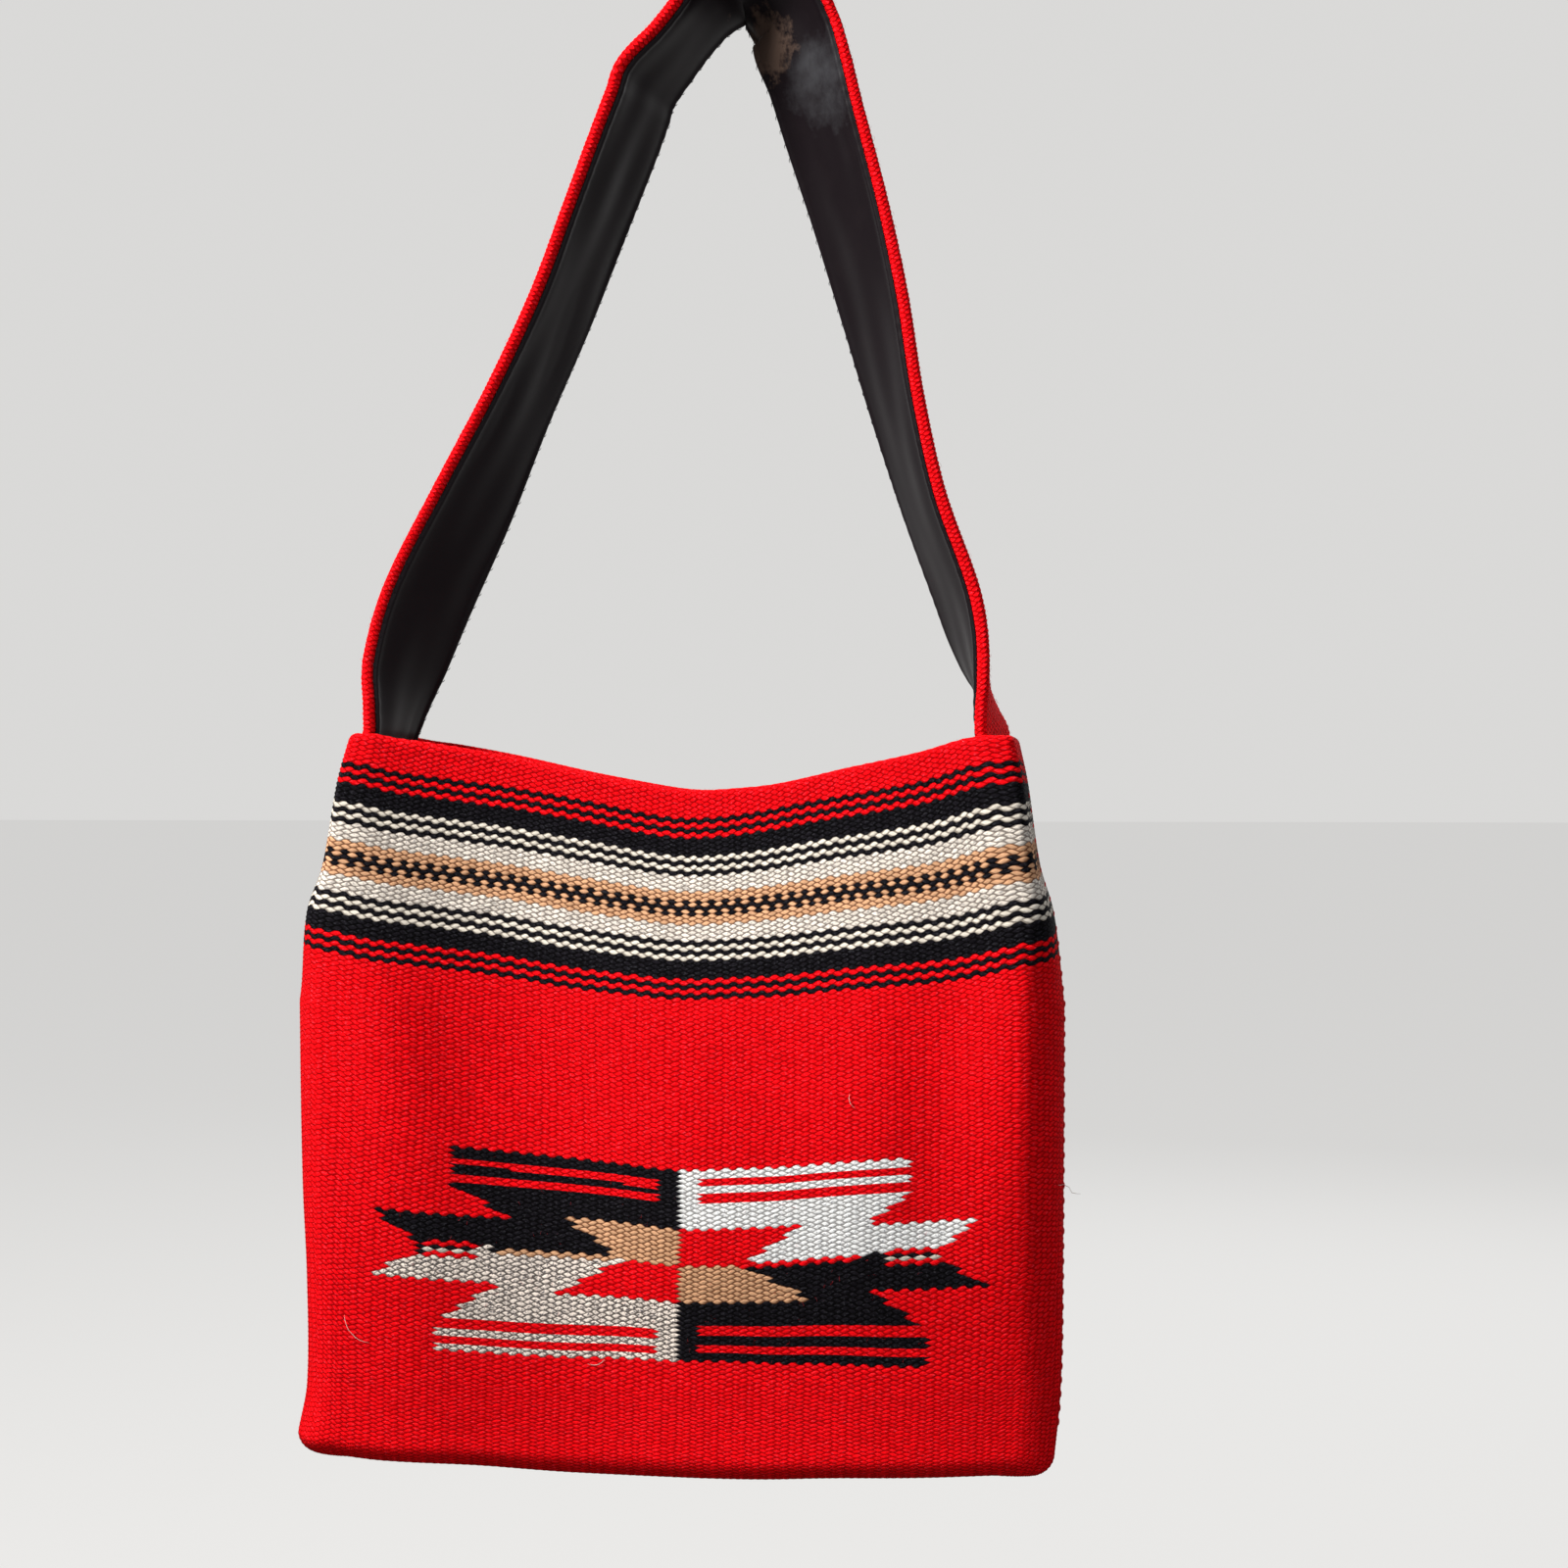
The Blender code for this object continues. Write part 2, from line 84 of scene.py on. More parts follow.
# Where rows of the front lie, in picks along the cloth from the rim, for columns in warps: the looser
# the cloth, the further apart they are. The back's rows lie evenly
KEY_ROWS = (13, 87, 157, 196, 235)
ROW_PLACES = (
    (-61, 13.3, 88.7, 160.1, 199.9, 239.7),
    (-44, 16.3, 91.2, 163.4, 206.7, 249.3),
    (-34, 15.8, 90.4, 162.8, 204.8, 247.3),
    (-25, 14.4, 88.8, 161.1, 201.5, 243.8),
    (-15, 13.6, 87.4, 158.4, 197.8, 239.6),
    (-5, 14.3, 85.7, 155.8, 195.2, 236.0),
    (6, 13.7, 84.8, 154.2, 193.8, 234.3),
    (17, 12.3, 86.1, 155.4, 194.5, 237.1),
    (28, 13.7, 89.2, 158.8, 198.3, 243.4),
    (39, 14.3, 92.2, 162.0, 202.6, 248.6),
    (46, 13.8, 93.2, 164.0, 206.4, 251.5),
    (57, 13.3, 88.7, 160.1, 199.9, 239.7),
)
LOOSENESS = 1.02
EVEN_ROWS = 248
WARP_LEAN = ((0.14, 0.0), (0.19, -0.0008), (0.24, -0.0030), (0.28, -0.0042))

# Bag body, as in the part
BODY_CENTRE_X = -0.022
STRAP_DROP = 0.298
BODY_HEIGHT = 0.2885
RIM_WIDTH = 0.262
BODY_WIDTH = 0.3045
BODY_DEPTH = 0.056
BODY_LEAN = 0.0037
FLARE_HEIGHT = 0.105
CLOTH = 0.0027
HEM_THICKNESS = 0.0046
HEM_HEIGHT = 0.024
RIM_CORNER = 0.011
RIM_SQUARENESS = 9.0
SIDE_SQUARENESS = 2.0
LEAST_SIDE_ROUND = 0.25
SIDE_ROUND = 0.017
SIDE_EASE = 0.0011
MOUTH_PINCH = 0.0125
BOTTOM_ROUND = 0.010
BOTTOM_CORNER = 0.009
BOTTOM_FLAT = 0.014
BOTTOM_TAPER = 0.008
TAPER_START = 0.42
RIM_SAG = 0.021
STRIPE_SAG = 0.017
FIGURE_SAG = 0.008
FOLD_SAG = 0.0040
STRIPES_HEIGHT = 0.0815
WAVE_HEIGHT = 0.060
RIM_WAVE = ((-0.127, 0.0018), (-0.112, 0.0015), (-0.098, 0.0023), (-0.073, 0.0027), (-0.042, 0.0019),
            (-0.012, 0.0014), (0.017, -0.0008), (0.038, -0.0023), (0.065, -0.0014), (0.095, -0.0008),
            (0.111, 0.0008), (0.125, 0.0004))
BOTTOM_WAVE = ((-0.125, 0.0), (-0.085, 0.0014), (-0.045, -0.0002), (0.0, -0.0009), (0.03, -0.0004),
               (0.065, 0.0014), (0.105, 0.0008), (0.138, -0.0010))
RIM_BLUNTNESS = 0.12
LOWER_BLUNTNESS = 0.6
FOLD_LEVEL_SHARE = 0.45
FLARE = ((0, 0), (0.17, 0.21), (0.48, 0.47), (0.66, 0.77), (1, 1))
SIDE_DRIFT = {
    -1: ((0.36, 0), (0.62, -0.0010), (0.75, -0.0023), (0.90, -0.0020), (0.97, 0.0018)),
    1: ((0.36, 0), (0.80, -0.0008), (0.90, -0.0018), (0.97, -0.0038)),
}
FRONT_FOLDS = (
    (-0.58, 0.42, 0.145, 0.21, -0.0022, 0.25),
    (-0.80, 0.37, 0.120, 0.21, 0.0016, 0.30),
    (-0.07, 0.82, 0.790, 0.10, -0.0014, 0.00),
)

# Softer and deeper folds of the empty cloth, in the same terms as the part's own
CLOTH_FOLDS = (
    (-0.335, 0.50, 0.240, 0.34, -0.0134, 0.28),
    (-0.74, 0.58, 0.170, 0.46, 0.0044, 0.06),
    (0.50, 0.50, 0.180, 0.28, 0.0032, 0.00),
    (0.665, 0.47, 0.100, 0.22, -0.0014, 0.00),
    (0.85, 0.50, 0.130, 0.26, 0.0046, 0.00),
    (1.04, 0.96, 0.340, 0.24, -0.0120, 0.00),
    (-0.18, 0.99, 0.600, 0.20, -0.0085, 0.00),
    (-0.10, 0.62, 0.720, 0.28, 0.0034, 0.00),
)

# Strap, as in the part but for a sharper left shoulder, with the twist that its ends and its crown take
STRAP_WIDTH = 0.046
STRAP_THICKNESS = 0.0048
STRAP_CROWN = 0.0004
STRAP_TUCK = 0.021
STRAP_SEAT = 0.0010
STRAP_EDGE_ROOM = 0.0014
SATIN = 0.0005
GAP = 0.0003
STRAP_LINING_MARGIN = 0.0012
STRAP_FRONT_BORDER = 0.0018
RIGHT_BASE_BORDER = 0.0035
RIGHT_BASE_START = 0.915
RIGHT_BASE_SHARE = 0.035
SATIN_STEP = 0.0013
PULL_HEIGHT = 0.00042
PUCKER_HEIGHT = 0.00016
PUCKER_REACH = 0.0030
EDGE_FOLD = 0.00050
EDGE_FOLD_IN = 0.0016
EDGE_FOLD_REACH = 0.0011
EDGE_SINK = 0.00060
EDGE_SINK_REACH = 0.0005
CROWN_TILT = 27.0
LEFT_LEG = (
    (0.020, 0.0072, 18), (0.050, 0.0106, 13.5), (0.085, 0.0141, 14), (0.127, 0.0188, 19),
    (0.155, 0.0177, 19.5), (0.200, 0.0165, 20), (0.300, 0.0140, 19), (0.425, 0.0110, 18),
    (0.556, 0.0105, 20.5), (0.690, 0.0106, 30.5), (0.816, 0.0112, 35.5), (0.904, 0.0078, 28.5),
    (0.957, 0.0034, 15.5), (0.990, 0.0004, 9), (1.000, -0.0004, 8),
)
RIGHT_LEG = (
    (0.030, 0.0120, 46), (0.070, 0.0134, 53), (0.110, 0.0138, 50), (0.179, 0.0128, 47), (0.306, 0.0114, 42),
    (0.430, 0.0088, 36), (0.561, 0.0048, 27), (0.691, 0.0027, 21), (0.812, 0.0038, 20.5), (0.860, 0.0032, 17.5),
    (0.905, 0.0022, 10.5), (0.935, 0.0016, 3), (0.965, 0.0004, -4), (1.000, -0.0008, -10),
)

# Marks on the satin below the crown, a painted sheen and a stain: place, reach, colour, and how fine and how
# hard their edges are
MARKS = {
    # A lighter patch that paints the satin's sheen where it bends below the crown
    "Painted Sheen": ((0.036, 0.0, -0.034), 0.017, (0.040, 0.040, 0.044), 60.0, 0.9),
    "Stain": ((0.006, 0.004, -0.021), 0.012, (0.085, 0.055, 0.042), 180.0, 1.8),
}

# Lining bag, as in the part
LINING_STEPS = 161
LINING_TOP = 0.015
LINING_EASE = 0.0030
LINING_FLOOR_GAP = 0.0012
WRINKLE_HEIGHT = 0.0011

# Stripes from the rim down: yarn and height in picks; the cloth below them is red
STRIPES = (
    ("red", 12), ("black", 2), ("red", 2), ("black", 2), ("red", 2),
    ("black", 8), ("white", 2), ("black", 2), ("white", 2), ("black", 2),
    ("heather", 7), ("tan", 4), ("black", 1), ("tan", 1), ("black", 2), ("tan", 1), ("black", 1),
    ("tan", 4), ("heather", 7),
    ("black", 2), ("white", 2), ("black", 2), ("white", 2), ("black", 8),
    ("red", 2), ("black", 2), ("red", 2), ("black", 2),
)

# Figure: edges of one quarter in warps across, by picks up or down from its middle
FIGURE_CENTRE_ACROSS = 0.0015
FIGURE_ROW = 196
FIGURE_TOP = 39
SPINE = 3
HEART_TOP = 15
ARM_FOOT = 3
ARM_FOOT_REACH = 36.4
BUMP_REACH = 25.5
PINSTRIPE = {-1: (28.0, 34.5), 1: (29.0, 36.4)}
LINE_START = 8.5

# Bars from high to low, at the middle and at their far end
THICK_BARS = ((39, 35, 39, 35), (32, 28, 32, 28))
TAPERED_BARS = ((39, 35, 39, 35), (31, 29, 33, 29))
THIN_BARS = ((39, 36, 39, 36), (33, 30, 33, 30))

# Quarters by side and by end, -1 up: yarn, heart's yarn, bars and the body's and the arm's height in picks,
# and how many warps out the bars, the body's tip, its notch, the arm's tip, and the heart at its far end
# and at the middle lie
QUARTERS = {
    (-1, -1): ("black", "tan", TAPERED_BARS, 26, 13, 32.0, 32.6, 23.6, 42.9, 16.4, 8.5),
    (1, -1): ("cool_heather", "red", THIN_BARS, 26, 13, 32.5, 32.3, 25.8, 41.5, 17.3, 8.7),
    (-1, 1): ("grey", "red", THIN_BARS, 26, 12, 33.3, 32.4, 24.6, 43.1, 17.0, 8.2),
    (1, 1): ("black", "tan", THICK_BARS, 24, 12, 34.8, 33.9, 26.3, 44.2, 18.7, 9.4),
}

# Wools by yarn: name, colour, the painted shade in its grooves, its flecks' colour, strength and cover, how
# uneven the beads' tones are, and where they aren't the usual ones the sheen and the gloss
WOOLS = {
    # The red's pink flecks are painted sheen on its beads
    "red": ("red_wool", (0.80, 0.0030, 0.0065), (0.36, 0.0004, 0.001), (1.0, 0.050, 0.080),
            0.55, 0.44, 0.35, 0.03, 0.03),
    # The black's grey flecks are partly its pale fibres and partly painted sheen
    "black": ("black_wool", (0.0065, 0.0055, 0.0075), (0.0012, 0.001, 0.0012), (0.045, 0.045, 0.052),
              0.5, 0.46, 0.6, 0.0, 0.04),
    "white": ("white_wool", (0.70, 0.635, 0.54), (0.23, 0.195, 0.16), (0.34, 0.31, 0.28), 0.45, 0.46, 0.3),
    "heather": ("pale_heather_wool", (0.73, 0.655, 0.57), (0.21, 0.175, 0.15), (0.17, 0.16, 0.17),
                0.65, 0.48, 0.35),
    "grey": ("grey_heather_wool", (0.86, 0.745, 0.65), (0.11, 0.092, 0.082), (0.05, 0.048, 0.065),
             0.92, 0.49, 0.3),
    "tan": ("tan_wool", (0.61, 0.335, 0.185), (0.17, 0.070, 0.033), (0.22, 0.10, 0.055), 0.4, 0.44, 0.3),
    "cool_heather": ("cool_heather_wool", (0.86, 0.855, 0.84), (0.32, 0.31, 0.30), (0.14, 0.14, 0.175),
                     0.78, 0.45, 0.2),
}
YARNS = tuple(WOOLS)

# Yarn and satin close up: where a bead turns to its gap, which takes painted shade, how its fibres lean and
# how fine they are along and across, and the bumps' strength and height
GAP_SHADE_RANGE = {"From Min": 0.66, "From Max": 1.12}
FIBRE_LEAN = math.radians(24)
FIBRE_FINENESS = (900, 4200, 1)
LOOSE_FINENESS = 1200.0
PATCH_FINENESS = 45.0
SATIN_PATCH_FINENESS = 26.0
SATIN_FINENESS = 2600.0
WOOL_BUMP = (0.8, 0.00030)
SATIN_BUMP = (0.15, 0.00003)
SATIN_SPECULAR = 0.085

# Fuzz: the fibres' least and largest radius, then how far they reach and how high they rise
FIBRE_RADII = (0.000022, 0.000045)
RIM_FUZZ = (0.0026, 0.0009)
CLOTH_FUZZ = (0.0030, 0.0006)
STRAP_FUZZ = (0.0026, 0.0008)

# Long pale hairs: warps and picks from the figure's middle column and the rim, length, angle and bend
STRAY_HAIRS = (
    (-46, 225, 0.0150, math.radians(-47), 0.0028),
    (53, 176, 0.0095, math.radians(-20), 0.0008),
    (-12, 236, 0.0070, math.radians(15), 0.0012),
    (24, 128, 0.0060, math.radians(-70), 0.0010),
    (-30, 60, 0.0075, math.radians(35), 0.0014),
)
HAIR_LIFT = 0.0007
HAIR_ARCH = 0.0005
HAIR_RADIUS = 0.00013

# Pale warps that show as dots along the bars' straight edges
WARP_DOT_LENGTH = 0.0010
WARP_DOT_RADIUS = 0.00019
WARP_DOT_LIFT = 0.00030
WARP_DOTS_HIDDEN = 0.35

# Stitches of the side seams, from front to back and up, and of the satin's edges
SEAM_STITCH = (0.0, 0.0019, 0.0011)
SEAM_STITCH_BULGE = 0.00025
SEAM_STITCH_RADIUS = 0.00030
STITCH_STEP = 0.0058
SLIP_STITCH_SLANT = 0.0012
SLIP_STITCH_IN = 0.0004
SLIP_STITCH_SINK = 0.0004
SLIP_STITCH_RADIUS = 0.00014

# Stage: the background as light and as seen, the floor, and lamps by place, size, watts and colour
WORLD_LIGHT = (0.27, 0.28, 0.30)
WORLD_SEEN = (0.70, 0.695, 0.685)
FLOOR_COLOUR = (0.14, 0.139, 0.137)
FLOOR_SEEN = (0.61, 0.603, 0.591)
FLOOR_REACH = 40.0
FLOOR_Z = -0.90
LIT_PLACE = (0.0, 0.0, -0.35)
LAMPS = (
    ("window_light", (-1.45, -1.20, 1.38), 0.8, 147.0, (1.0, 0.985, 0.96)),
    ("room_fill", (1.6, -1.9, 0.2), 1.8, 13.0, (0.95, 0.97, 1.0)),
    ("back_fill", (0.6, 2.3, 0.9), 1.8, 40.0, (0.98, 0.99, 1.0)),
)

# Values that follow from the ones above
RIM_Z = -STRAP_DROP
BELOW_HEM = HEM_HEIGHT + HEM_THICKNESS - CLOTH
STRAIGHT_HEIGHT = BODY_HEIGHT - BOTTOM_ROUND
RIM_ROW_OFFSET = int((HEM_HEIGHT - HEM_THICKNESS / 2 + math.pi * HEM_THICKNESS / 4) / PICK_PITCH)
FIGURE_ABOVE_FOLD = 0.0895
FIGURE_CENTRE_DOWN = BODY_HEIGHT - FIGURE_ABOVE_FOLD
RIM_DEPTH = STRAP_WIDTH + 2 * (HEM_THICKNESS + STRAP_EDGE_ROOM)
STRAP_STACK = SATIN + GAP + STRAP_THICKNESS + STRAP_CROWN
STRAP_BASE_REACH = RIM_WIDTH / 2 - HEM_THICKNESS - STRAP_SEAT - STRAP_STACK


def ease(share):
    share = np.clip(share, 0.0, 1.0)
    return share * share * (3 - 2 * share)


def mix(first, last, share):
    return first + (last - first) * share


def curve_through(knots, position):
    """Values of a smooth curve through knots (position, value), level beyond both ends."""
    at, value = np.array(knots, float).T
    last = len(at) - 1
    before = np.maximum(np.arange(last + 1) - 1, 0)
    after = np.minimum(np.arange(last + 1) + 1, last)
    slope = (value[after] - value[before]) / (at[after] - at[before])
    place = np.clip(position, at[0], at[last])
    i = np.clip(np.searchsorted(at, place, side="right") - 1, 0, last - 1)
    length = at[i + 1] - at[i]
    s = (place - at[i]) / length
    return ((2 * s ** 3 - 3 * s ** 2 + 1) * value[i] + (s ** 3 - 2 * s ** 2 + s) * length * slope[i]
            + (3 * s ** 2 - 2 * s ** 3) * value[i + 1] + (s ** 3 - s ** 2) * length * slope[i + 1])


def through(knots, position):
    """Values of straight pieces through knots (position, value), level beyond both ends."""
    at, value = np.array(knots, float).T
    return np.interp(position, at, value)


def hashed(*numbers):
    """An even spread from 0 to 1 that depends only on whole numbers."""
    total = sum(np.asarray(n, float) * k for n, k in zip(numbers, (12.9898, 78.233, 37.719)))
    wave = np.sin(total) * 43758.5453
    return wave - np.floor(wave)


def waves(across, down, seed, count, longest, shortest):
    """A smooth uneven field from -1 to 1 over two lengths in metres."""
    draw = np.random.default_rng(seed)
    total = 0.0
    for _ in range(count):
        angle = draw.uniform(0, 2 * math.pi)
        size = math.exp(draw.uniform(math.log(shortest), math.log(longest)))
        turn = 2 * math.pi / size
        phase = draw.uniform(0, 2 * math.pi)
        total = total + np.sin(turn * (across * math.cos(angle) + down * math.sin(angle)) + phase)
    return total / math.sqrt(count)


# Shape of the bag body


def half_width(drop, side):
    full = BODY_WIDTH / 2 - side * BODY_LEAN
    width = mix(RIM_WIDTH / 2, full, curve_through(FLARE, drop / FLARE_HEIGHT))
    width = width + curve_through(SIDE_DRIFT[side], drop / BODY_HEIGHT) + SIDE_EASE * ease(drop / FLARE_HEIGHT)
    corner = np.clip(1 - (BODY_HEIGHT - drop) / BOTTOM_CORNER, 0, 1)
    return width - BOTTOM_CORNER * (1 - np.sqrt(1 - corner ** 2))


def half_depth(drop):
    depth = mix(RIM_DEPTH, BODY_DEPTH, ease(drop / FLARE_HEIGHT)) / 2
    depth = depth - BOTTOM_TAPER * ease((drop / BODY_HEIGHT - TAPER_START) / (1 - TAPER_START))
    turn = np.clip(1 - (BODY_HEIGHT - drop) / BOTTOM_ROUND, 0, 1)
    return mix(BOTTOM_FLAT / 2, depth, np.sqrt(1 - turn ** 2))


def sag(drop, across):
    depth = curve_through(((0.0, RIM_SAG), (STRIPES_HEIGHT, STRIPE_SAG),
                           (FIGURE_CENTRE_DOWN, FIGURE_SAG), (BODY_HEIGHT, FOLD_SAG)), drop)
    blunt = mix(RIM_BLUNTNESS, LOWER_BLUNTNESS, ease(drop / STRIPES_HEIGHT))
    pointed = 1 - (np.hypot(across, blunt) - blunt) / (np.hypot(1, blunt) - blunt)
    rise = np.clip((across - FOLD_LEVEL_SHARE) / (1 - FOLD_LEVEL_SHARE), 0, None)
    near_fold = ease((drop - FIGURE_CENTRE_DOWN) / FIGURE_ABOVE_FOLD)
    return depth * mix(pointed, 1 - rise ** 2, near_fold)


def front_relief(across, drop):
    half = BODY_WIDTH / 2
    relief = 0.0
    for centre, down, reach_across, reach_down, height, slant in FRONT_FOLDS + CLOTH_FOLDS:
        below = drop - down * BODY_HEIGHT
        dx = (across - centre * half - slant * below) / (reach_across * half)
        dz = below / (reach_down * BODY_HEIGHT)
        relief = relief + height * np.exp(-dx * dx - dz * dz)
    return relief * half_depth(drop) / (BODY_DEPTH / 2)


def half_ring(drop, inset, squeeze=1.0, side_inset=0.0, folds=1.0, points=96):
    """Rows round the front half, from the left side's middle to the right's: (rows, points, xyz).

    drop, inset and squeeze hold one value for each row; squeeze draws a row in towards y = 0.
    """
    drop, inset, squeeze = (np.asarray(v, float)[:, None] for v in np.broadcast_arrays(drop, inset, squeeze))
    depth = half_depth(drop) - inset
    boxy = 1 - ease(drop / FLARE_HEIGHT)
    corner = mix(SIDE_ROUND, RIM_CORNER, boxy)
    reach = np.maximum(corner - inset, depth * LEAST_SIDE_ROUND)
    power = mix(SIDE_SQUARENESS, RIM_SQUARENESS, boxy)
    left = half_width(drop, -1) - inset - side_inset - reach
    right = half_width(drop, 1) - inset - side_inset - reach
    turn = np.linspace(0, math.pi / 2, points)[None, :]
    radius = (np.cos(turn) ** power + np.sin(turn) ** power) ** (-1 / power)
    out = radius * np.cos(turn)
    forward = radius * np.sin(turn)
    flat = np.linspace(0, 1, points)[None, 1:-1]
    x = np.concatenate([-left - reach * out, mix(-left, right, flat), (right + reach * out)[:, ::-1]], 1)
    y = np.concatenate([forward, np.ones_like(drop) + 0 * flat, forward[:, ::-1]], 1) * -depth
    wide = np.where(x > 0, half_width(drop, 1), half_width(drop, -1)) - corner
    across = np.minimum(1.0, np.abs(x) / wide)
    y = y * (1 - MOUTH_PINCH * boxy / depth * (1 - across ** 2))
    y = y - folds * front_relief(x, drop) * np.abs(y) / depth
    z = RIM_Z - drop - sag(drop, across)
    z = z + curve_through(RIM_WAVE, x) * (1 - ease(drop / WAVE_HEIGHT))
    z = z + curve_through(BOTTOM_WAVE, x) * (1 - ease((BODY_HEIGHT - drop) / WAVE_HEIGHT))
    return np.stack([BODY_CENTRE_X + x, y * squeeze, z], 2)


def lengths(points):
    """How far along a line of points each of them lies."""
    steps = np.linalg.norm(np.diff(points, axis=0), axis=-1)
    return np.concatenate([np.zeros((1,) + steps.shape[1:]), np.cumsum(steps, axis=0)])


def points_at(at, travelled, points):
    """Points at lengths along a line of points."""
    return np.stack([np.interp(at, travelled, axis) for axis in points.T], -1)


def along(rings, drop, columns):
    """Points on rings at places counted in warps from the figure's middle.

    The warps keep their pitch over the front and take up the rest of the ring round the sides.
    """
    placed = []
    for ring, down, wanted in zip(rings, drop, columns):
        travelled = lengths(ring)
        half = len(ring) // 2
        span = slice(half - half // 2, half + half // 2)
        middle = BODY_CENTRE_X + FIGURE_CENTRE_ACROSS + through(WARP_LEAN, down)
        anchor = np.interp(middle, ring[span, 0], travelled[span])
        gathered = half_width(min(down, FLARE_HEIGHT), 1) / half_width(FLARE_HEIGHT, 1)
        even = EVEN_WARPS * WARP_PITCH * gathered
        place = np.interp(wanted, (-LEFT_WARPS, -EVEN_WARPS, 0, EVEN_WARPS, RIGHT_WARPS),
                          (0, anchor - even * FOLD_STRETCH, anchor, anchor + even, travelled[-1]))
        placed.append(points_at(place, travelled, ring))
    return np.array(placed)


def evenly(rings, count):
    """Points spaced evenly along each ring."""
    travelled = [lengths(ring) for ring in rings]
    return np.array([points_at(np.linspace(0, at[-1], count), at, ring) for at, ring in zip(travelled, rings)])


# Weave


def bar_edges(bar, share):
    """A bar's high and low edge at a share of its length, in whole picks."""
    near_high, near_low, far_high, far_low = bar
    return np.round(mix(near_high, far_high, share)), np.round(mix(near_low, far_low, share))


def figure_yarns(column, level):
    """The figure's yarn at columns and rows counted from its middle, or -1 outside it."""
    across, height = np.abs(column), np.abs(level)
    found = np.full(column.shape, -1)
    for (side, end), quarter in QUARTERS.items():
        yarn, heart, bars, body_top, arm_top, bar_end, body_tip, notch, arm_tip, heart_far, heart_near = quarter
        pin_start, pin_end = PINSTRIPE[side]
        here = (np.sign(column) == side) & (np.sign(level) == end)
        arm = (height > ARM_FOOT) & (height < arm_top)
        tip = through(((ARM_FOOT, ARM_FOOT_REACH), (arm_top, arm_tip)), height)
        slope = through(((ARM_FOOT, pin_start), (arm_top, notch), (body_top, body_tip)), height)
        inside = (height < body_top) & (across < np.where(arm, tip, slope))
        for bar in bars:
            high, low = bar_edges(bar, across / bar_end)
            inside |= (height < high) & (height > low) & (across < bar_end)
        inside |= (height < FIGURE_TOP) & (height > HEART_TOP) & (across < SPINE)
        in_heart = (height < HEART_TOP) & (across < through(((0, heart_near), (HEART_TOP, heart_far)), height))
        bump = (height < 2) & (across > BUMP_REACH) & (across < pin_start)
        thin = height < 1
        line = thin & (across > LINE_START) & (across < BUMP_REACH)
        pins = (height < ARM_FOOT) & (across > pin_start) & (across < ARM_FOOT_REACH)
        dark = np.floor(column) % 2 == 0
        for where, name in ((inside, yarn), (in_heart, heart), (bump, QUARTERS[(side, 1)][0]),
                            (line, "tan" if side < 0 else "red"), (pins, "red"), (pins & thin & dark, "black"),
                            (pins & thin & ~dark, "white"), (pins & (across > pin_end), "black")):
            found = np.where(here & where, YARNS.index(name), found)
    return found


def straight_edges(column, row):
    """Where the yarn changes within a bead, along the straight inner edges of the figure's bars."""
    level = row + 0.5 - FIGURE_ROW
    found = np.zeros(column.shape, bool)
    for (side, end), (_, _, _, body_top, _, bar_end, *_) in QUARTERS.items():
        here = (np.sign(column) == side) & (np.sign(level) == end) & (np.abs(column) < bar_end)
        found |= here & (np.abs(level) > body_top - 1) & (np.abs(level) < FIGURE_TOP - 2)
    return found


def panel_yarns(column, row, with_figure):
    """The yarn of each bead, by its column's middle in warps and its row in picks from the rim."""
    stripes = np.array([YARNS.index(name) for name, picks in STRIPES for _ in range(picks)])
    index = np.clip(row.astype(int), 0, len(stripes) - 1)
    yarn = np.where((row >= 0) & (row < len(stripes)), stripes[index], YARNS.index("red"))
    if with_figure:
        figure = figure_yarns(column, row + 0.5 - FIGURE_ROW)
        yarn = np.where(figure >= 0, figure, yarn)
    return yarn


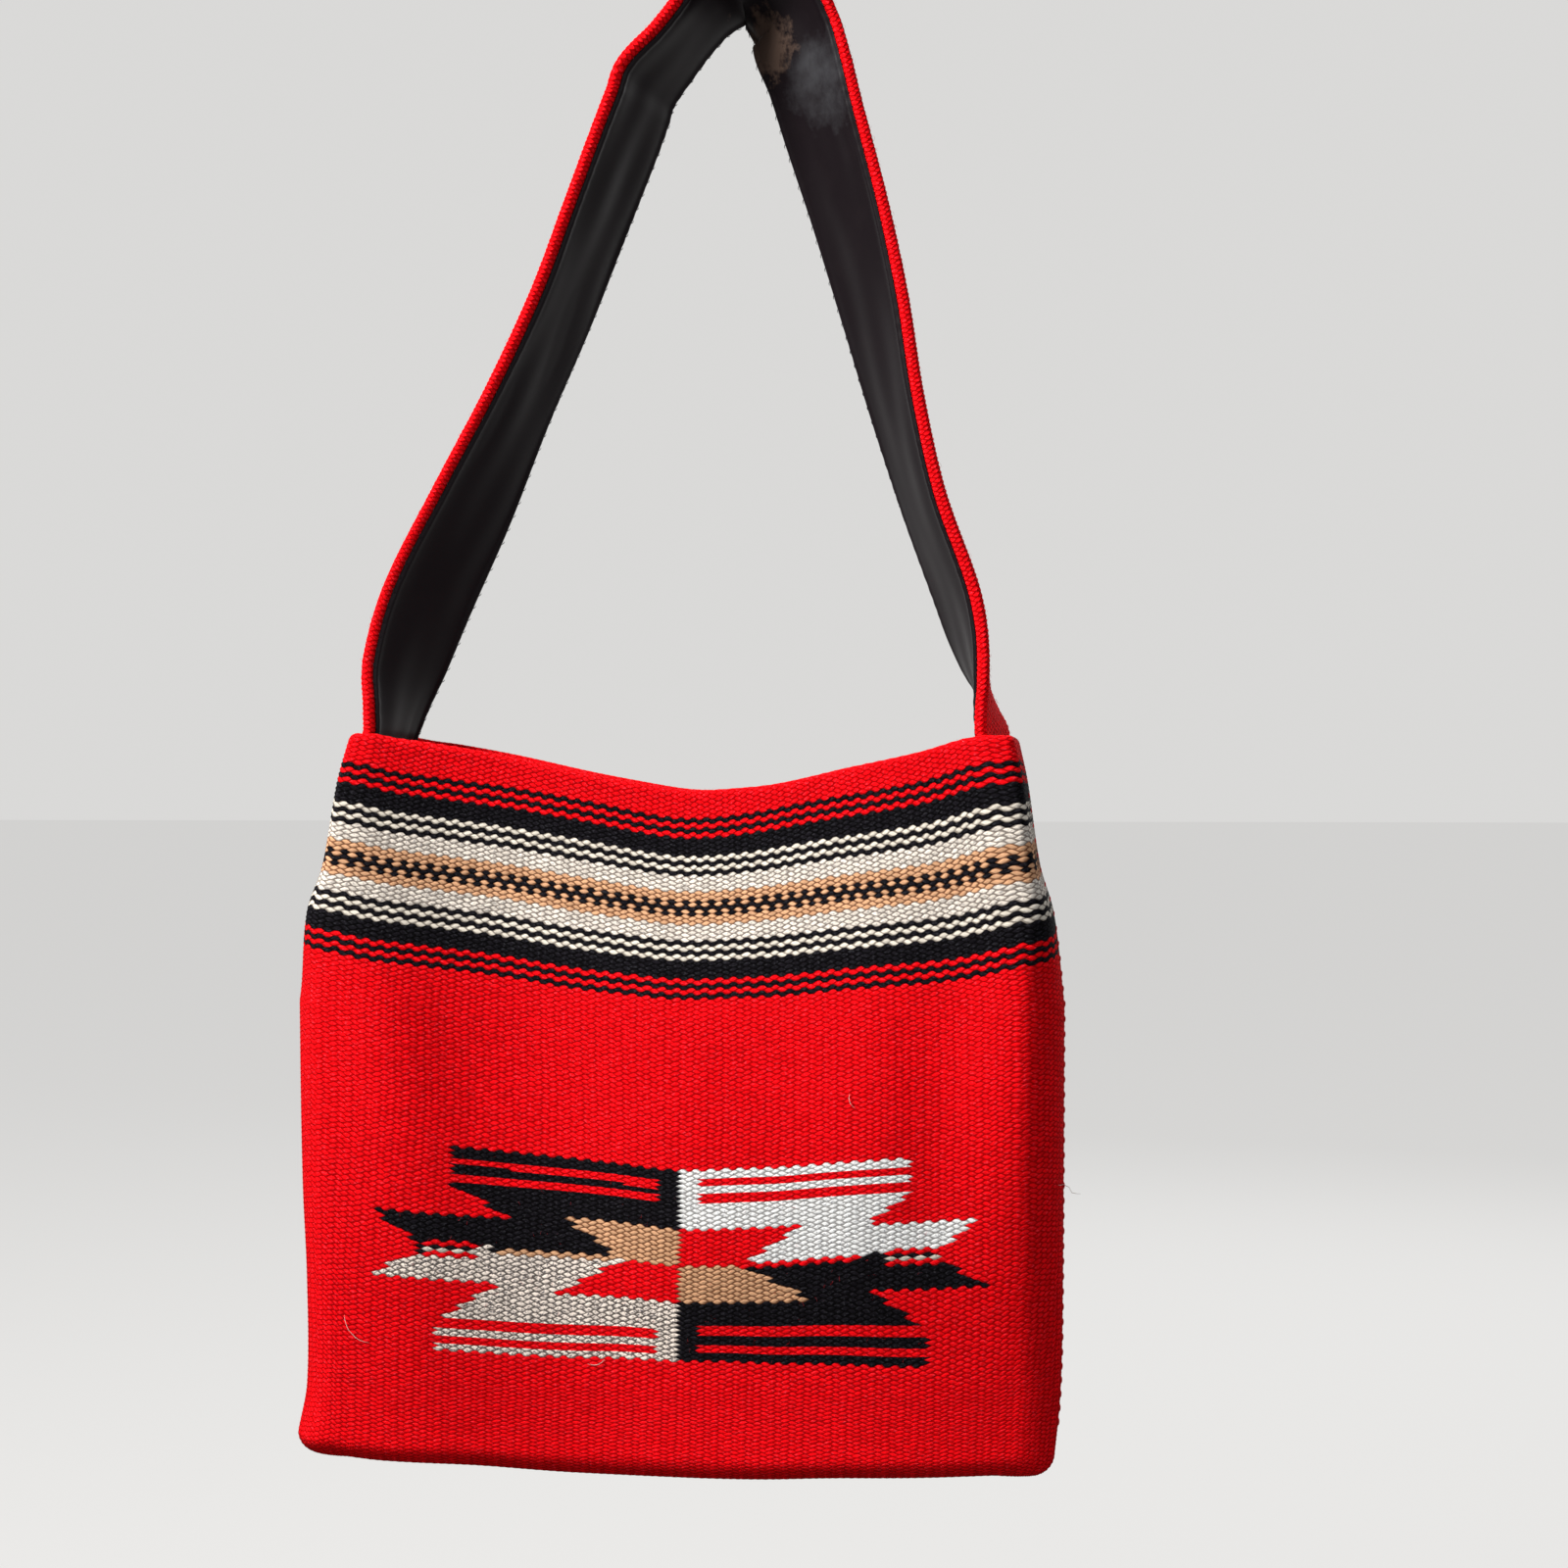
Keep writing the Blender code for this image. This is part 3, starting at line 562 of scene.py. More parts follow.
class Sewing:
    """Gathers points and faces of one piece, with what its materials read on them."""

    def __init__(self):
        self.points, self.faces, self.corners, self.bead, self.slot = [], [], [], [], []
        self.count = 0

    def add_points(self, points):
        points = np.asarray(points, float).reshape(-1, 3)
        self.points.append(points)
        self.count += len(points)
        return self.count - len(points)

    def add_faces(self, faces, corners=None, bead=0.5, slot=0):
        """Faces with their tones and yarns; corners holds each corner's uv and its place on its bead."""
        faces = [list(map(int, face)) for face in faces]
        self.faces += faces
        if corners is None:
            corners = np.zeros(4 * sum(map(len, faces)))
        self.corners.append(np.reshape(corners, (-1, 4)))
        self.bead.append(np.broadcast_to(bead, len(faces)))
        self.slot.append(np.broadcast_to(slot, len(faces)))

    def add_grid(self, points, uv=None, bead=0.5, slot=0, places=None, flip=False, round_it=False):
        """A grid (rows, columns) of points; uv has one more column where the grid closes round."""
        rows, columns = points.shape[:2]
        ids = self.add_points(points) + np.arange(rows * columns).reshape(rows, columns)
        order = [0, 1, 2, 3] if flip else [0, 3, 2, 1]

        def corners_of(grid):
            around = [grid[:-1, :-1], grid[:-1, 1:], grid[1:, 1:], grid[1:, :-1]]
            return np.stack([around[i] for i in order], 2).reshape((-1, 4) + grid.shape[2:])

        faces = corners_of(np.concatenate([ids, ids[:, :1]], 1) if round_it else ids)
        corners = None
        if uv is not None:
            on_bead = np.zeros((len(faces), 4, 2)) if places is None else places[:, order]
            corners = np.concatenate([corners_of(uv), on_bead], 2)
        self.add_faces(faces, corners, bead, slot)
        return ids

    def add_strip(self, first, second, reverse=False):
        """Faces between two lines of points."""
        faces = np.stack([first[:-1], first[1:], second[1:], second[:-1]], 1)
        self.add_faces(faces[:, ::-1] if reverse else faces)

    def finish(self, name, materials):
        mesh = bpy.data.meshes.new(name)
        mesh.from_pydata(np.concatenate(self.points), [], self.faces)
        for material in materials:
            mesh.materials.append(material)
        mesh.polygons.foreach_set("material_index", np.concatenate(self.slot).astype(np.int32))
        corners = np.concatenate(self.corners).astype(np.float32)
        for layer, pair in (("weave", corners[:, :2]), ("bead_place", corners[:, 2:])):
            mesh.uv_layers.new(name=layer).data.foreach_set("uv", pair.ravel())
        bead = mesh.attributes.new("bead", "FLOAT", "FACE")
        bead.data.foreach_set("value", np.concatenate(self.bead).astype(np.float32))
        mesh.shade_smooth()
        return in_scene(name, mesh)


def in_scene(name, data):
    thing = bpy.data.objects.new(name, data)
    bpy.context.scene.collection.objects.link(thing)
    return thing


def normals_of(surface, outward):
    """Unit normals of a grid of points, turned to the side that outward, 1 or -1, names, and its steps down."""
    down, across = np.gradient(surface, axis=(0, 1))
    normal = np.cross(across, down) * outward
    return normal / np.maximum(np.linalg.norm(normal, axis=2, keepdims=True), 1e-12), down


def weave(surface_at, first_column, columns, rows, yarn_of, outward, relief=1.0, closed=False, cut_at=None):
    """The beads of a weave-faced cloth over a surface.

    surface_at gives points for places in warps, one row of them for each pick. relief scales the beads'
    height, the same or by rows, and cut_at tells where the yarn changes within a bead. Returns the points,
    their uvs, and each face's bead tone, yarn and place on its bead.
    """
    j = np.arange(2 * columns + (not closed))
    column, row = (j // 2)[None, :], rows[:, None]
    place = np.broadcast_to(first_column + j / 2, (len(rows), len(j)))
    at_edge = (j % 2 == 0)[None, :]
    inner = np.ones((1, len(j)), bool)
    if not closed:
        inner[:, [0, -1]] = False
    even = (column + row) % 2 == 0
    sign = np.where(even, 1.0, -1.0)
    left, right = (yarn_of(first_column + column + by + 0 * sign, row + 0 * sign) for by in (-0.5, 0.5))
    lean = np.where(at_edge & inner, -sign, 0)
    plain = surface_at(place)
    normal, down = normals_of(plain, outward)
    if closed:
        wrapped = np.concatenate([plain[:, -2:], plain, plain[:, :2]], 1)
        normal, down = (field[:, 2:-2] for field in normals_of(wrapped, outward))
    wander = COLUMN_WANDER * waves(place * WARP_PITCH, row * PICK_PITCH, *WANDER_WAVES)
    shift = lean * np.where(left != right, JOIN_REACH, TIP_REACH) + np.where(inner, wander, 0)
    points = surface_at(place + shift) + down * (lean * TIP_TILT)[:, :, None]
    top = BEAD_TOP + BEAD_UNEVEN * (2 * hashed(column, row) - 1)
    height = np.where(at_edge, BEAD_TIP, np.where(even, top, BEAD_GROOVE)) * np.reshape(relief, (-1, 1))
    points = points + normal * height[:, :, None]

    k = np.arange(len(j) - (not closed))
    upper = rows[:-1, None]
    bead_column = np.broadcast_to(k // 2, (len(upper), len(k)))
    bead_row = np.where((bead_column + upper) % 2 == 0, upper, upper + 1)
    middle = first_column + bead_column + 0.5
    yarn = yarn_of(middle, bead_row)
    if cut_at is not None:
        face_row = upper + 0 * bead_row
        yarn = np.where(cut_at(middle, face_row), yarn_of(middle, face_row), yarn)
    tone = hashed(bead_column, bead_row)
    u = (first_column + np.arange(len(k) + 1) / 2) * WARP_PITCH
    uv = np.stack(np.broadcast_arrays(u[None, :], -row * PICK_PITCH), 2)
    left_half = np.broadcast_to(k % 2 == 0, bead_row.shape)
    corners = []
    for right_end, low in ((0, 0), (1, 0), (1, 1), (0, 1)):
        on_bead_row = (bead_row == upper) != bool(low)
        out = np.where(left_half == bool(right_end), 0.0, 0.5 + np.where(on_bead_row, TIP_REACH, -TIP_REACH))
        y = np.where(on_bead_row, 0.0, 1.0 if low else -1.0)
        corners.append(np.stack([out * np.where(left_half, -1, 1), y], 2))
    places = np.stack(corners, 2)
    slant = np.where(bead_column % 2 == 0, BEAD_SLANT, -BEAD_SLANT)
    slant = slant + BEAD_SLANT_UNEVEN * (hashed(tone, 3) - 0.5)
    places[..., 1] += places[..., 0] * slant[:, :, None]
    places[..., 0] *= (BEAD_NARROWING * (0.85 + 0.30 * hashed(tone, 7)))[:, :, None]
    return points, uv, tone.ravel(), yarn.ravel(), places.reshape(-1, 4, 2)


def panel_path():
    """Fine steps from the hem's inner edge over the rim to the fold: drop, inset, squeeze, the rim's step."""
    radius = HEM_THICKNESS / 2
    turn = np.linspace(math.pi, 0, 13)
    bottom = np.linspace(0, math.pi / 2, 40)[1:]
    inside = np.linspace(HEM_HEIGHT, radius, 24)[:-1]
    outside = np.linspace(radius, STRAIGHT_HEIGHT, 280)[1:]
    drop = np.concatenate([inside, radius - radius * np.sin(turn), outside,
                           STRAIGHT_HEIGHT + BOTTOM_ROUND * np.sin(bottom), np.full(8, BODY_HEIGHT)])
    inset = np.concatenate([np.full(len(inside), HEM_THICKNESS), radius - radius * np.cos(turn),
                            np.zeros(len(drop) - len(inside) - len(turn))])
    squeeze = np.ones(len(drop))
    squeeze[-8:] = np.linspace(1, 0, 9)[1:]
    return drop, inset, squeeze, len(inside) + 6


def down_to_floor(walls, floor, steps):
    """Steps down the walls and round the bottom to a flat floor that closes: drop and squeeze."""
    bottom = mix(STRAIGHT_HEIGHT, floor, np.sin(np.linspace(0, math.pi / 2, steps)[1:]))
    drop = np.concatenate([*walls, bottom, [floor]])
    return drop, np.append(np.ones(len(drop) - 1), 0)


def cloth_of_rows(side, folds):
    """Where each row of the weave lies, on columns a quarter of a warp apart: rows, places, points."""
    drop, inset, squeeze, rim_step = panel_path()
    rings = half_ring(drop, inset, squeeze, folds=folds) * (1, side, 1)
    places = np.arange(-4 * LEFT_WARPS, 4 * RIGHT_WARPS + 1) / 4
    fine = along(rings, drop, np.broadcast_to(places, (len(drop), len(places))))
    travelled = lengths(fine)
    first = -int(travelled[rim_step].min() / PICK_PITCH)
    last = int((travelled[-1] - travelled[rim_step]).mean() / PICK_PITCH)
    lie = LOOSENESS * np.array(KEY_ROWS)[:, None] * np.ones(len(places))
    if side > 0:
        columns, *knots = np.array(ROW_PLACES, float).T
        lie = np.array([curve_through(list(zip(columns, knot)), places) for knot in knots])
    lie = np.concatenate([lie[:1] - LOOSENESS * KEY_ROWS[0], lie,
                          lie[-1:] + LOOSENESS * (EVEN_ROWS - KEY_ROWS[-1])])
    steps = (0,) + KEY_ROWS + (EVEN_ROWS,)
    cloth = np.empty((last + 1 - first, len(places), 3))
    for q in range(len(places)):
        rim = travelled[rim_step, q]
        outside = rim + PICK_PITCH * curve_through(list(zip(steps, lie[:, q])), np.arange(EVEN_ROWS) + 0.5)
        inside = np.linspace(0, outside[0], -first + 1)[:-1]
        below = np.linspace(outside[-1], travelled[-1, q], last + 2 - EVEN_ROWS)[1:]
        cloth[:, q] = points_at(np.concatenate([inside, outside, below]), travelled[:, q], fine[:, q])
    return np.arange(first, last + 1), places, cloth


def woven_half(name, side, materials):
    """Half of the panel, closed: side is 1 for the front and -1 for the back."""
    folds = float(side > 0)
    rows, places, cloth = cloth_of_rows(side, folds)
    columns = LEFT_WARPS + RIGHT_WARPS

    def surface_at(place):
        return np.array([points_at(wanted, places, row) for wanted, row in zip(place, cloth)])

    def yarn_of(column, row):
        return panel_yarns(column, row, side > 0)

    beads = weave(surface_at, -LEFT_WARPS, columns, rows, yarn_of, side, through(HEM_RELIEF, rows),
                  cut_at=straight_edges if side > 0 else None)
    points = beads[0]
    points[:, [0, -1], 1] = 0
    sewing = Sewing()
    flip = side < 0
    ids = sewing.add_grid(*beads, flip=flip)
    drop, squeeze = down_to_floor([np.linspace(BELOW_HEM, STRAIGHT_HEIGHT, 10)], BODY_HEIGHT - CLOTH, 6)
    rings = half_ring(drop, CLOTH, squeeze, folds=folds) * (1, side, 1)
    place = np.broadcast_to(np.arange(2 * columns + 1) / 2 - LEFT_WARPS, (len(drop), 2 * columns + 1))
    inner = along(rings, drop, place)
    inner[:, [0, -1], 1] = 0
    inner_ids = sewing.add_grid(inner, flip=not flip)
    for end, reverse in ((0, flip), (-1, not flip)):
        sewing.add_strip(ids[end], inner_ids[end], reverse)
    for end, reverse in ((0, flip), (-1, not flip)):
        face = np.concatenate([ids[:, end], inner_ids[::-1, end]])
        sewing.add_faces([face[::-1] if reverse else face])
    return sewing.finish(name, materials), points


# Strap


def strap_route(places):
    """The middle of the strap's inner face at shares of its length: x, z, tilt, and that length."""
    knots = [(0.0, 0.0, CROWN_TILT)]
    for leg, side in ((LEFT_LEG, -1), (RIGHT_LEG, 1)):
        base_x = BODY_CENTRE_X + side * STRAP_BASE_REACH
        points = [(base_x * share + side * bow, RIM_Z * share, tilt) for share, bow, tilt in leg]
        points.append((base_x, RIM_Z - STRAP_TUCK, 0.0))
        knots = points[::-1] + knots if side < 0 else knots + points
    knots = np.array(knots)
    travelled = lengths(knots[:, :2])
    at = places * travelled[-1]
    return [curve_through(list(zip(travelled, knots[:, axis])), at) for axis in range(3)] + [travelled[-1]]


def strap_length():
    return strap_route(np.zeros(1))[3]


def strap_places(count):
    """A function for points at steps down the strap, by how far across and outwards they lie."""
    x, z, tilt, _ = strap_route(np.linspace(0, 1, count))
    forward = np.stack([np.gradient(x), 0 * x, np.gradient(z)], 1)
    forward /= np.linalg.norm(forward, axis=1, keepdims=True)
    inboard = np.stack([forward[:, 2], 0 * x, -forward[:, 0]], 1)
    back = np.array([[0.0, 1.0, 0.0]])
    turn = np.radians(tilt)[:, None]
    middle = np.stack([x, 0 * x, z], 1)
    across = inboard * np.sin(turn) + back * np.cos(turn)
    outwards = back * np.sin(turn) - inboard * np.cos(turn)

    def place(w, h, at=np.arange(count)[:, None]):
        return middle[at] + across[at] * w[..., None] + outwards[at] * h[..., None]

    return place


def strap_section():
    """The wool band's outline round from the middle of its inner face: across, outwards."""
    radius = STRAP_THICKNESS / 2
    edge = STRAP_WIDTH / 2 - radius
    floor = SATIN + GAP
    angle = np.linspace(-math.pi / 2, math.pi / 2, 24)
    fold = np.stack([edge + radius * np.cos(angle), floor + radius * (1 + np.sin(angle))], 1)
    top = np.linspace(edge, -edge, 24)[1:-1]
    crown = floor + STRAP_THICKNESS + STRAP_CROWN * (1 - (top / edge) ** 2)
    return np.concatenate([[(0, floor)], fold, np.stack([top, crown], 1), fold[::-1] * (-1, 1), [(0, floor)]])


def strap_band(materials):
    """The woven wool band, a closed tube of beads with its folded edges."""
    section = strap_section()
    travelled = lengths(section)
    columns = 2 * int(round(travelled[-1] / WARP_PITCH / 2))
    rows = np.arange(int(strap_length() / PICK_PITCH) + 1)
    on_strap = strap_places(len(rows))

    def surface_at(place):
        at = points_at(np.mod(place / columns, 1.0) * travelled[-1], travelled, section)
        return on_strap(at[..., 0], at[..., 1])

    def yarn_of(column, row):
        return np.zeros(np.broadcast(column, row).shape, int)

    beads = weave(surface_at, 0, columns, rows, yarn_of, 1, STRAP_RELIEF, True)
    sewing = Sewing()
    ids = sewing.add_grid(*beads, round_it=True)
    sewing.add_faces([ids[0], ids[-1][::-1]])
    return sewing.finish("strap_wool_band", materials), beads[0]


def front_border(share):
    """How much wool the satin leaves bare at the strap's front edge, at shares of the strap's length."""
    return STRAP_FRONT_BORDER + RIGHT_BASE_BORDER * ease((share - RIGHT_BASE_START) / RIGHT_BASE_SHARE)


def strap_satin(materials):
    """The satin strip on the strap's inner face, with turned edges and long soft pulls."""
    length = strap_length()
    rows, columns = int(length / SATIN_STEP), 44
    on_strap = strap_places(rows)
    edge = STRAP_WIDTH / 2 - STRAP_LINING_MARGIN
    s = np.linspace(0, length, rows)[:, None]
    front = edge - front_border(s / length)
    w = mix(-front, edge, 0.5 + 0.5 * np.sin(np.linspace(-math.pi / 2, math.pi / 2, columns)))
    from_edge = np.minimum(edge - w, w + front)
    near_edge = np.exp(-(from_edge / PUCKER_REACH) ** 2)
    puckers = PUCKER_HEIGHT * np.sin(2 * math.pi * s / STITCH_STEP + 2 * waves(0 * w, s, 21, 5, 0.08, 0.02))
    puckers = puckers * (0.4 + 0.6 * np.clip(waves(0 * w, s, 23, 4, 0.12, 0.04), -1, 1))
    soft = PULL_HEIGHT * waves(w * 3.2, s * 0.55, 22, 9, 0.11, 0.035) * (1 - near_edge)
    fold = -EDGE_FOLD * np.exp(-((from_edge - EDGE_FOLD_IN) / EDGE_FOLD_REACH) ** 2)
    sunk = EDGE_SINK * np.exp(-(from_edge / EDGE_SINK_REACH) ** 2)
    face = np.minimum(-0.0001 + soft + puckers * near_edge + fold + sunk, SATIN - 0.0001)
    sewing = Sewing()
    uv = np.stack(np.broadcast_arrays(w, -s), 2)
    face_ids = sewing.add_grid(on_strap(w, face), uv)
    seat_ids = sewing.add_grid(on_strap(w, np.full_like(face, SATIN + 0.0001)), uv, flip=True)
    sewing.add_strip(*(np.concatenate([ids[0, :-1], ids[:-1, -1], ids[-1, :0:-1], ids[::-1, 0]])
                       for ids in (face_ids, seat_ids)))
    return sewing.finish("strap_satin_strip", materials)


# Lining bag


def lining_bag(materials):
    """The satin bag inside the woven one, a thin closed shell with soft wrinkles."""
    side_inset = STRAP_SEAT + STRAP_STACK + GAP + half_width(STRAP_TUCK + GAP, -1) - RIM_WIDTH / 2
    floor = BODY_HEIGHT - CLOTH - LINING_FLOOR_GAP
    drop, squeeze = down_to_floor([np.linspace(LINING_TOP, HEM_HEIGHT, 5),
                                   np.linspace(BELOW_HEM, STRAIGHT_HEIGHT, 70)], floor, 10)
    in_hem = 1 - ease((drop - HEM_HEIGHT) / (BELOW_HEM - HEM_HEIGHT))
    inset = mix(CLOTH + LINING_EASE, HEM_THICKNESS + GAP, in_hem)
    free = ease((drop[:, None] - LINING_TOP) / 0.03) * ease((floor - drop[:, None]) / 0.03)
    sewing = Sewing()
    layers = []
    for thickness, flip in ((0.0, False), (SATIN, True)):
        at = drop - thickness * (drop > STRAIGHT_HEIGHT)
        front, back = (evenly(half_ring(at, inset + thickness, squeeze, side_inset, folds), LINING_STEPS)
                       for folds in (1.0, 0.0))
        loop = np.concatenate([front[:, :-1], (back[:, ::-1] * (1, -1, 1))[:, :-1]], 1)
        soft = WRINKLE_HEIGHT * waves(loop[:, :, 0], loop[:, :, 2], 31, 10, 0.09, 0.02) * free
        loop[:, :, 1] -= np.sign(loop[:, :, 1]) * np.abs(soft)
        layers.append(sewing.add_grid(loop, round_it=True, flip=flip))
    for end, reverse in ((0, False), (-1, True)):
        sewing.add_strip(*(np.append(ids[end], ids[end, 0]) for ids in layers), reverse)
    return sewing.finish("satin_lining_bag", materials)


# Threads and fibres


def add_threads(sewing, paths, radius, sides=3):
    """Closed round threads along paths (threads, points, xyz), thinner at both ends."""
    count, steps = paths.shape[:2]
    forward = np.gradient(paths, axis=1)
    forward /= np.maximum(np.linalg.norm(forward, axis=2, keepdims=True), 1e-12)
    aside = np.cross(forward, np.array([0.31, 0.52, 0.79]))
    aside /= np.linalg.norm(aside, axis=2, keepdims=True)
    turn = (np.arange(sides) * 2 * math.pi / sides)[None, None, :, None]
    ring = aside[:, :, None] * np.cos(turn) + np.cross(forward, aside)[:, :, None] * np.sin(turn)
    thin = np.sqrt(np.clip(1.06 - np.linspace(-1, 1, steps) ** 2, 0, 1))[None, :, None, None]
    points = paths[:, :, None] + ring * thin * np.reshape(radius, (-1, 1, 1, 1))
    ids = sewing.add_points(points) + np.arange(count * steps * sides).reshape(count, steps, sides)
    after = np.roll(ids, -1, axis=2)
    walls = np.stack([ids[:, :-1], after[:, :-1], after[:, 1:], ids[:, 1:]], 3)
    for faces in (walls.reshape(-1, 4), ids[:, 0, ::-1], ids[:, -1]):
        sewing.add_faces(faces)


def fibres_on(draw, points, normals, reach, lift):
    """Paths of short curled fibres that start and end in the cloth."""
    count = len(points)
    away = draw.normal(size=(count, 3))
    away -= normals * np.sum(away * normals, axis=1, keepdims=True)
    away /= np.linalg.norm(away, axis=1, keepdims=True)
    curl = np.cross(away, normals) * draw.uniform(-0.35, 0.35, (count, 1))
    length = draw.uniform(0.5, 1.0, (count, 1)) * reach
    high = draw.uniform(0.35, 1.0, (count, 1)) * lift
    shares = ((0.0, -0.10, 0.0), (0.3, 0.8, 0.6), (0.7, 0.9, 0.9), (1.0, 0.25, 0.3))
    return np.stack([points + length * (away * along_it + curl * bent) + normals * high * up
                     for along_it, up, bent in shares], 1)


def loose_fibres(cloths, materials):
    """The wool's fuzz: fine fibres all over, and more of them round the rim.

    A cloth is its points, its outer side, the rows and the columns that fibres start on, their count,
    how far they reach and how high they rise.
    """
    draw = np.random.default_rng(41)
    sewing = Sewing()
    for points, outward, rows, columns, count, reach, lift in cloths:
        normal, _ = normals_of(points, outward)
        r = draw.integers(rows[0], rows[1], count)
        c = draw.integers(columns[0], columns[1], count)
        paths = fibres_on(draw, points[r, c], normal[r, c], reach, lift)
        add_threads(sewing, paths, draw.uniform(*FIBRE_RADII, count))
    return sewing.finish("loose_wool_fibres", materials)


def stray_hairs(front, materials):
    """A few long pale hairs caught in the cloth, and the pale warps that show along the figure's bars."""
    sewing = Sewing()
    normal, _ = normals_of(front, 1)
    dots = []
    for (side, end), quarter in QUARTERS.items():
        edges = [quarter[3]] + [edge for bar in quarter[2] for edge in bar[2:] if edge < FIGURE_TOP]
        for edge in edges:
            r = RIM_ROW_OFFSET + FIGURE_ROW + end * edge
            for k in range(SPINE + 1 + edge % 2, int(quarter[5]) - 1, 2):
                c = 2 * (LEFT_WARPS + side * k) + 1
                if hashed(k, r) > WARP_DOTS_HIDDEN:
                    at = front[r, c] + normal[r, c] * WARP_DOT_LIFT
                    dots.append(at + np.linspace(-0.5, 0.5, 4)[:, None] * (0, 0, WARP_DOT_LENGTH))
    add_threads(sewing, np.array(dots), WARP_DOT_RADIUS)
    outer = front[RIM_ROW_OFFSET:, 1:-1:2].reshape(-1, 3)
    out = np.array([0.0, -1.0, 0.0])
    s = np.linspace(0, 1, 9)[:, None]
    for column, row, length, angle, bend in STRAY_HAIRS:
        way = np.array([math.cos(angle), 0.0, math.sin(angle)])
        path = front[RIM_ROW_OFFSET + row, 2 * (LEFT_WARPS + column)] + way * length * s
        path = path + np.cross(way, out) * bend * 4 * s * (1 - s)
        apart = np.linalg.norm((path[:, None] - outer[None])[:, :, (0, 2)], axis=2)
        on_cloth = apart.min(axis=1) < WARP_PITCH
        path[on_cloth, 1] = outer[apart.argmin(axis=1), 1][on_cloth]
        add_threads(sewing, (path + out * (HAIR_LIFT + HAIR_ARCH * np.sin(3.0 * s)))[None], HAIR_RADIUS)
    return sewing.finish("stray_pale_hairs", materials)


def seam_stitches(front, materials):
    """Small slanting stitches that close the panel's two side seams."""
    sewing = Sewing()
    shares = np.linspace(-1, 1, 6)[None, :, None]
    for end, side in ((0, -1), (-1, 1)):
        line = front[RIM_ROW_OFFSET + 6:front.shape[0] - 24:6, end]
        bulge = np.array([side * SEAM_STITCH_BULGE, 0, 0]) * (1 - shares ** 2)
        add_threads(sewing, line[:, None] + np.array(SEAM_STITCH) * shares + bulge, SEAM_STITCH_RADIUS, sides=6)
    return sewing.finish("side_seam_stitches", materials)


def slip_stitches(materials):
    """The thread that fells the satin strip to the wool band, along both of its edges."""
    sewing = Sewing()
    count, fine = int(strap_length() / STITCH_STEP), 12
    on_strap = strap_places(count * fine)
    shares = np.linspace(0, 1, 5)
    k = np.arange(2, count - 2)[:, None]
    at = k * fine + np.round(shares * 4).astype(int)
    for side in (-1, 1):
        w = side * (STRAP_WIDTH / 2 - STRAP_LINING_MARGIN - SLIP_STITCH_IN + SLIP_STITCH_SLANT * shares)
        w = w + (front_border(k / count) if side < 0 else 0)
        h = SLIP_STITCH_SINK * (1 - np.sin(math.pi * shares))
        add_threads(sewing, on_strap(w, h, at), SLIP_STITCH_RADIUS, sides=5)
    return sewing.finish("satin_slip_stitches", materials)


# Materials


def new_material(name):
    material = bpy.data.materials.new(name)
    material.use_nodes = True
    return material, material.node_tree, material.node_tree.nodes["Principled BSDF"]


def put(tree, sockets, values):
    """Gives sockets their values by name or number, and a link where the value is a node's output."""
    for key, value in values.items():
        if isinstance(value, bpy.types.NodeSocket):
            tree.links.new(value, sockets[key])
        else:
            sockets[key].default_value = (*value, 1) if sockets[key].type == "RGBA" else value


def node(tree, kind, *given, **values):
    """A shader node: given are its first sockets' values, and values its named sockets' and its settings."""
    made = tree.nodes.new("ShaderNode" + kind)
    put(tree, made.inputs, dict(enumerate(given)))
    for key, value in values.items():
        if key in made.inputs.keys():
            put(tree, made.inputs, {key: value})
        else:
            setattr(made, key, value)
    return made


def maths(tree, operation, first, second=0.0, clamp=False):
    return node(tree, "Math", first, second, operation=operation, use_clamp=clamp).outputs[0]


def steps_of(tree, *operations):
    """One function for each kind of sum in a node tree."""
    return [functools.partial(maths, tree, operation) for operation in operations]


def blended(tree, share, first, second):
    """A colour between two, by a share from 0 to 1."""
    made = node(tree, "Mix", data_type="RGBA")
    put(tree, made.inputs, {0: share, 6: first, 7: second})
    return made.outputs[2]


def noise(tree, place, scale, detail, rough):
    return node(tree, "TexNoise", Vector=place, Scale=scale, Detail=detail, Roughness=rough).outputs["Fac"]


def group_of(name, colours, numbers, vectors=()):
    """A shader node group that gives Colour and Height: the group, its inputs and its outputs."""
    group = bpy.data.node_groups.new(name, "ShaderNodeTree")
    for direction, kind, names in (("INPUT", "Color", colours), ("INPUT", "Float", numbers),
                                   ("INPUT", "Vector", vectors), ("OUTPUT", "Color", ["Colour"]),
                                   ("OUTPUT", "Float", ["Height"])):
        for each in names:
            group.interface.new_socket(each, in_out=direction, socket_type="NodeSocket" + kind)
    return group, group.nodes.new("NodeGroupInput").outputs, group.nodes.new("NodeGroupOutput").inputs


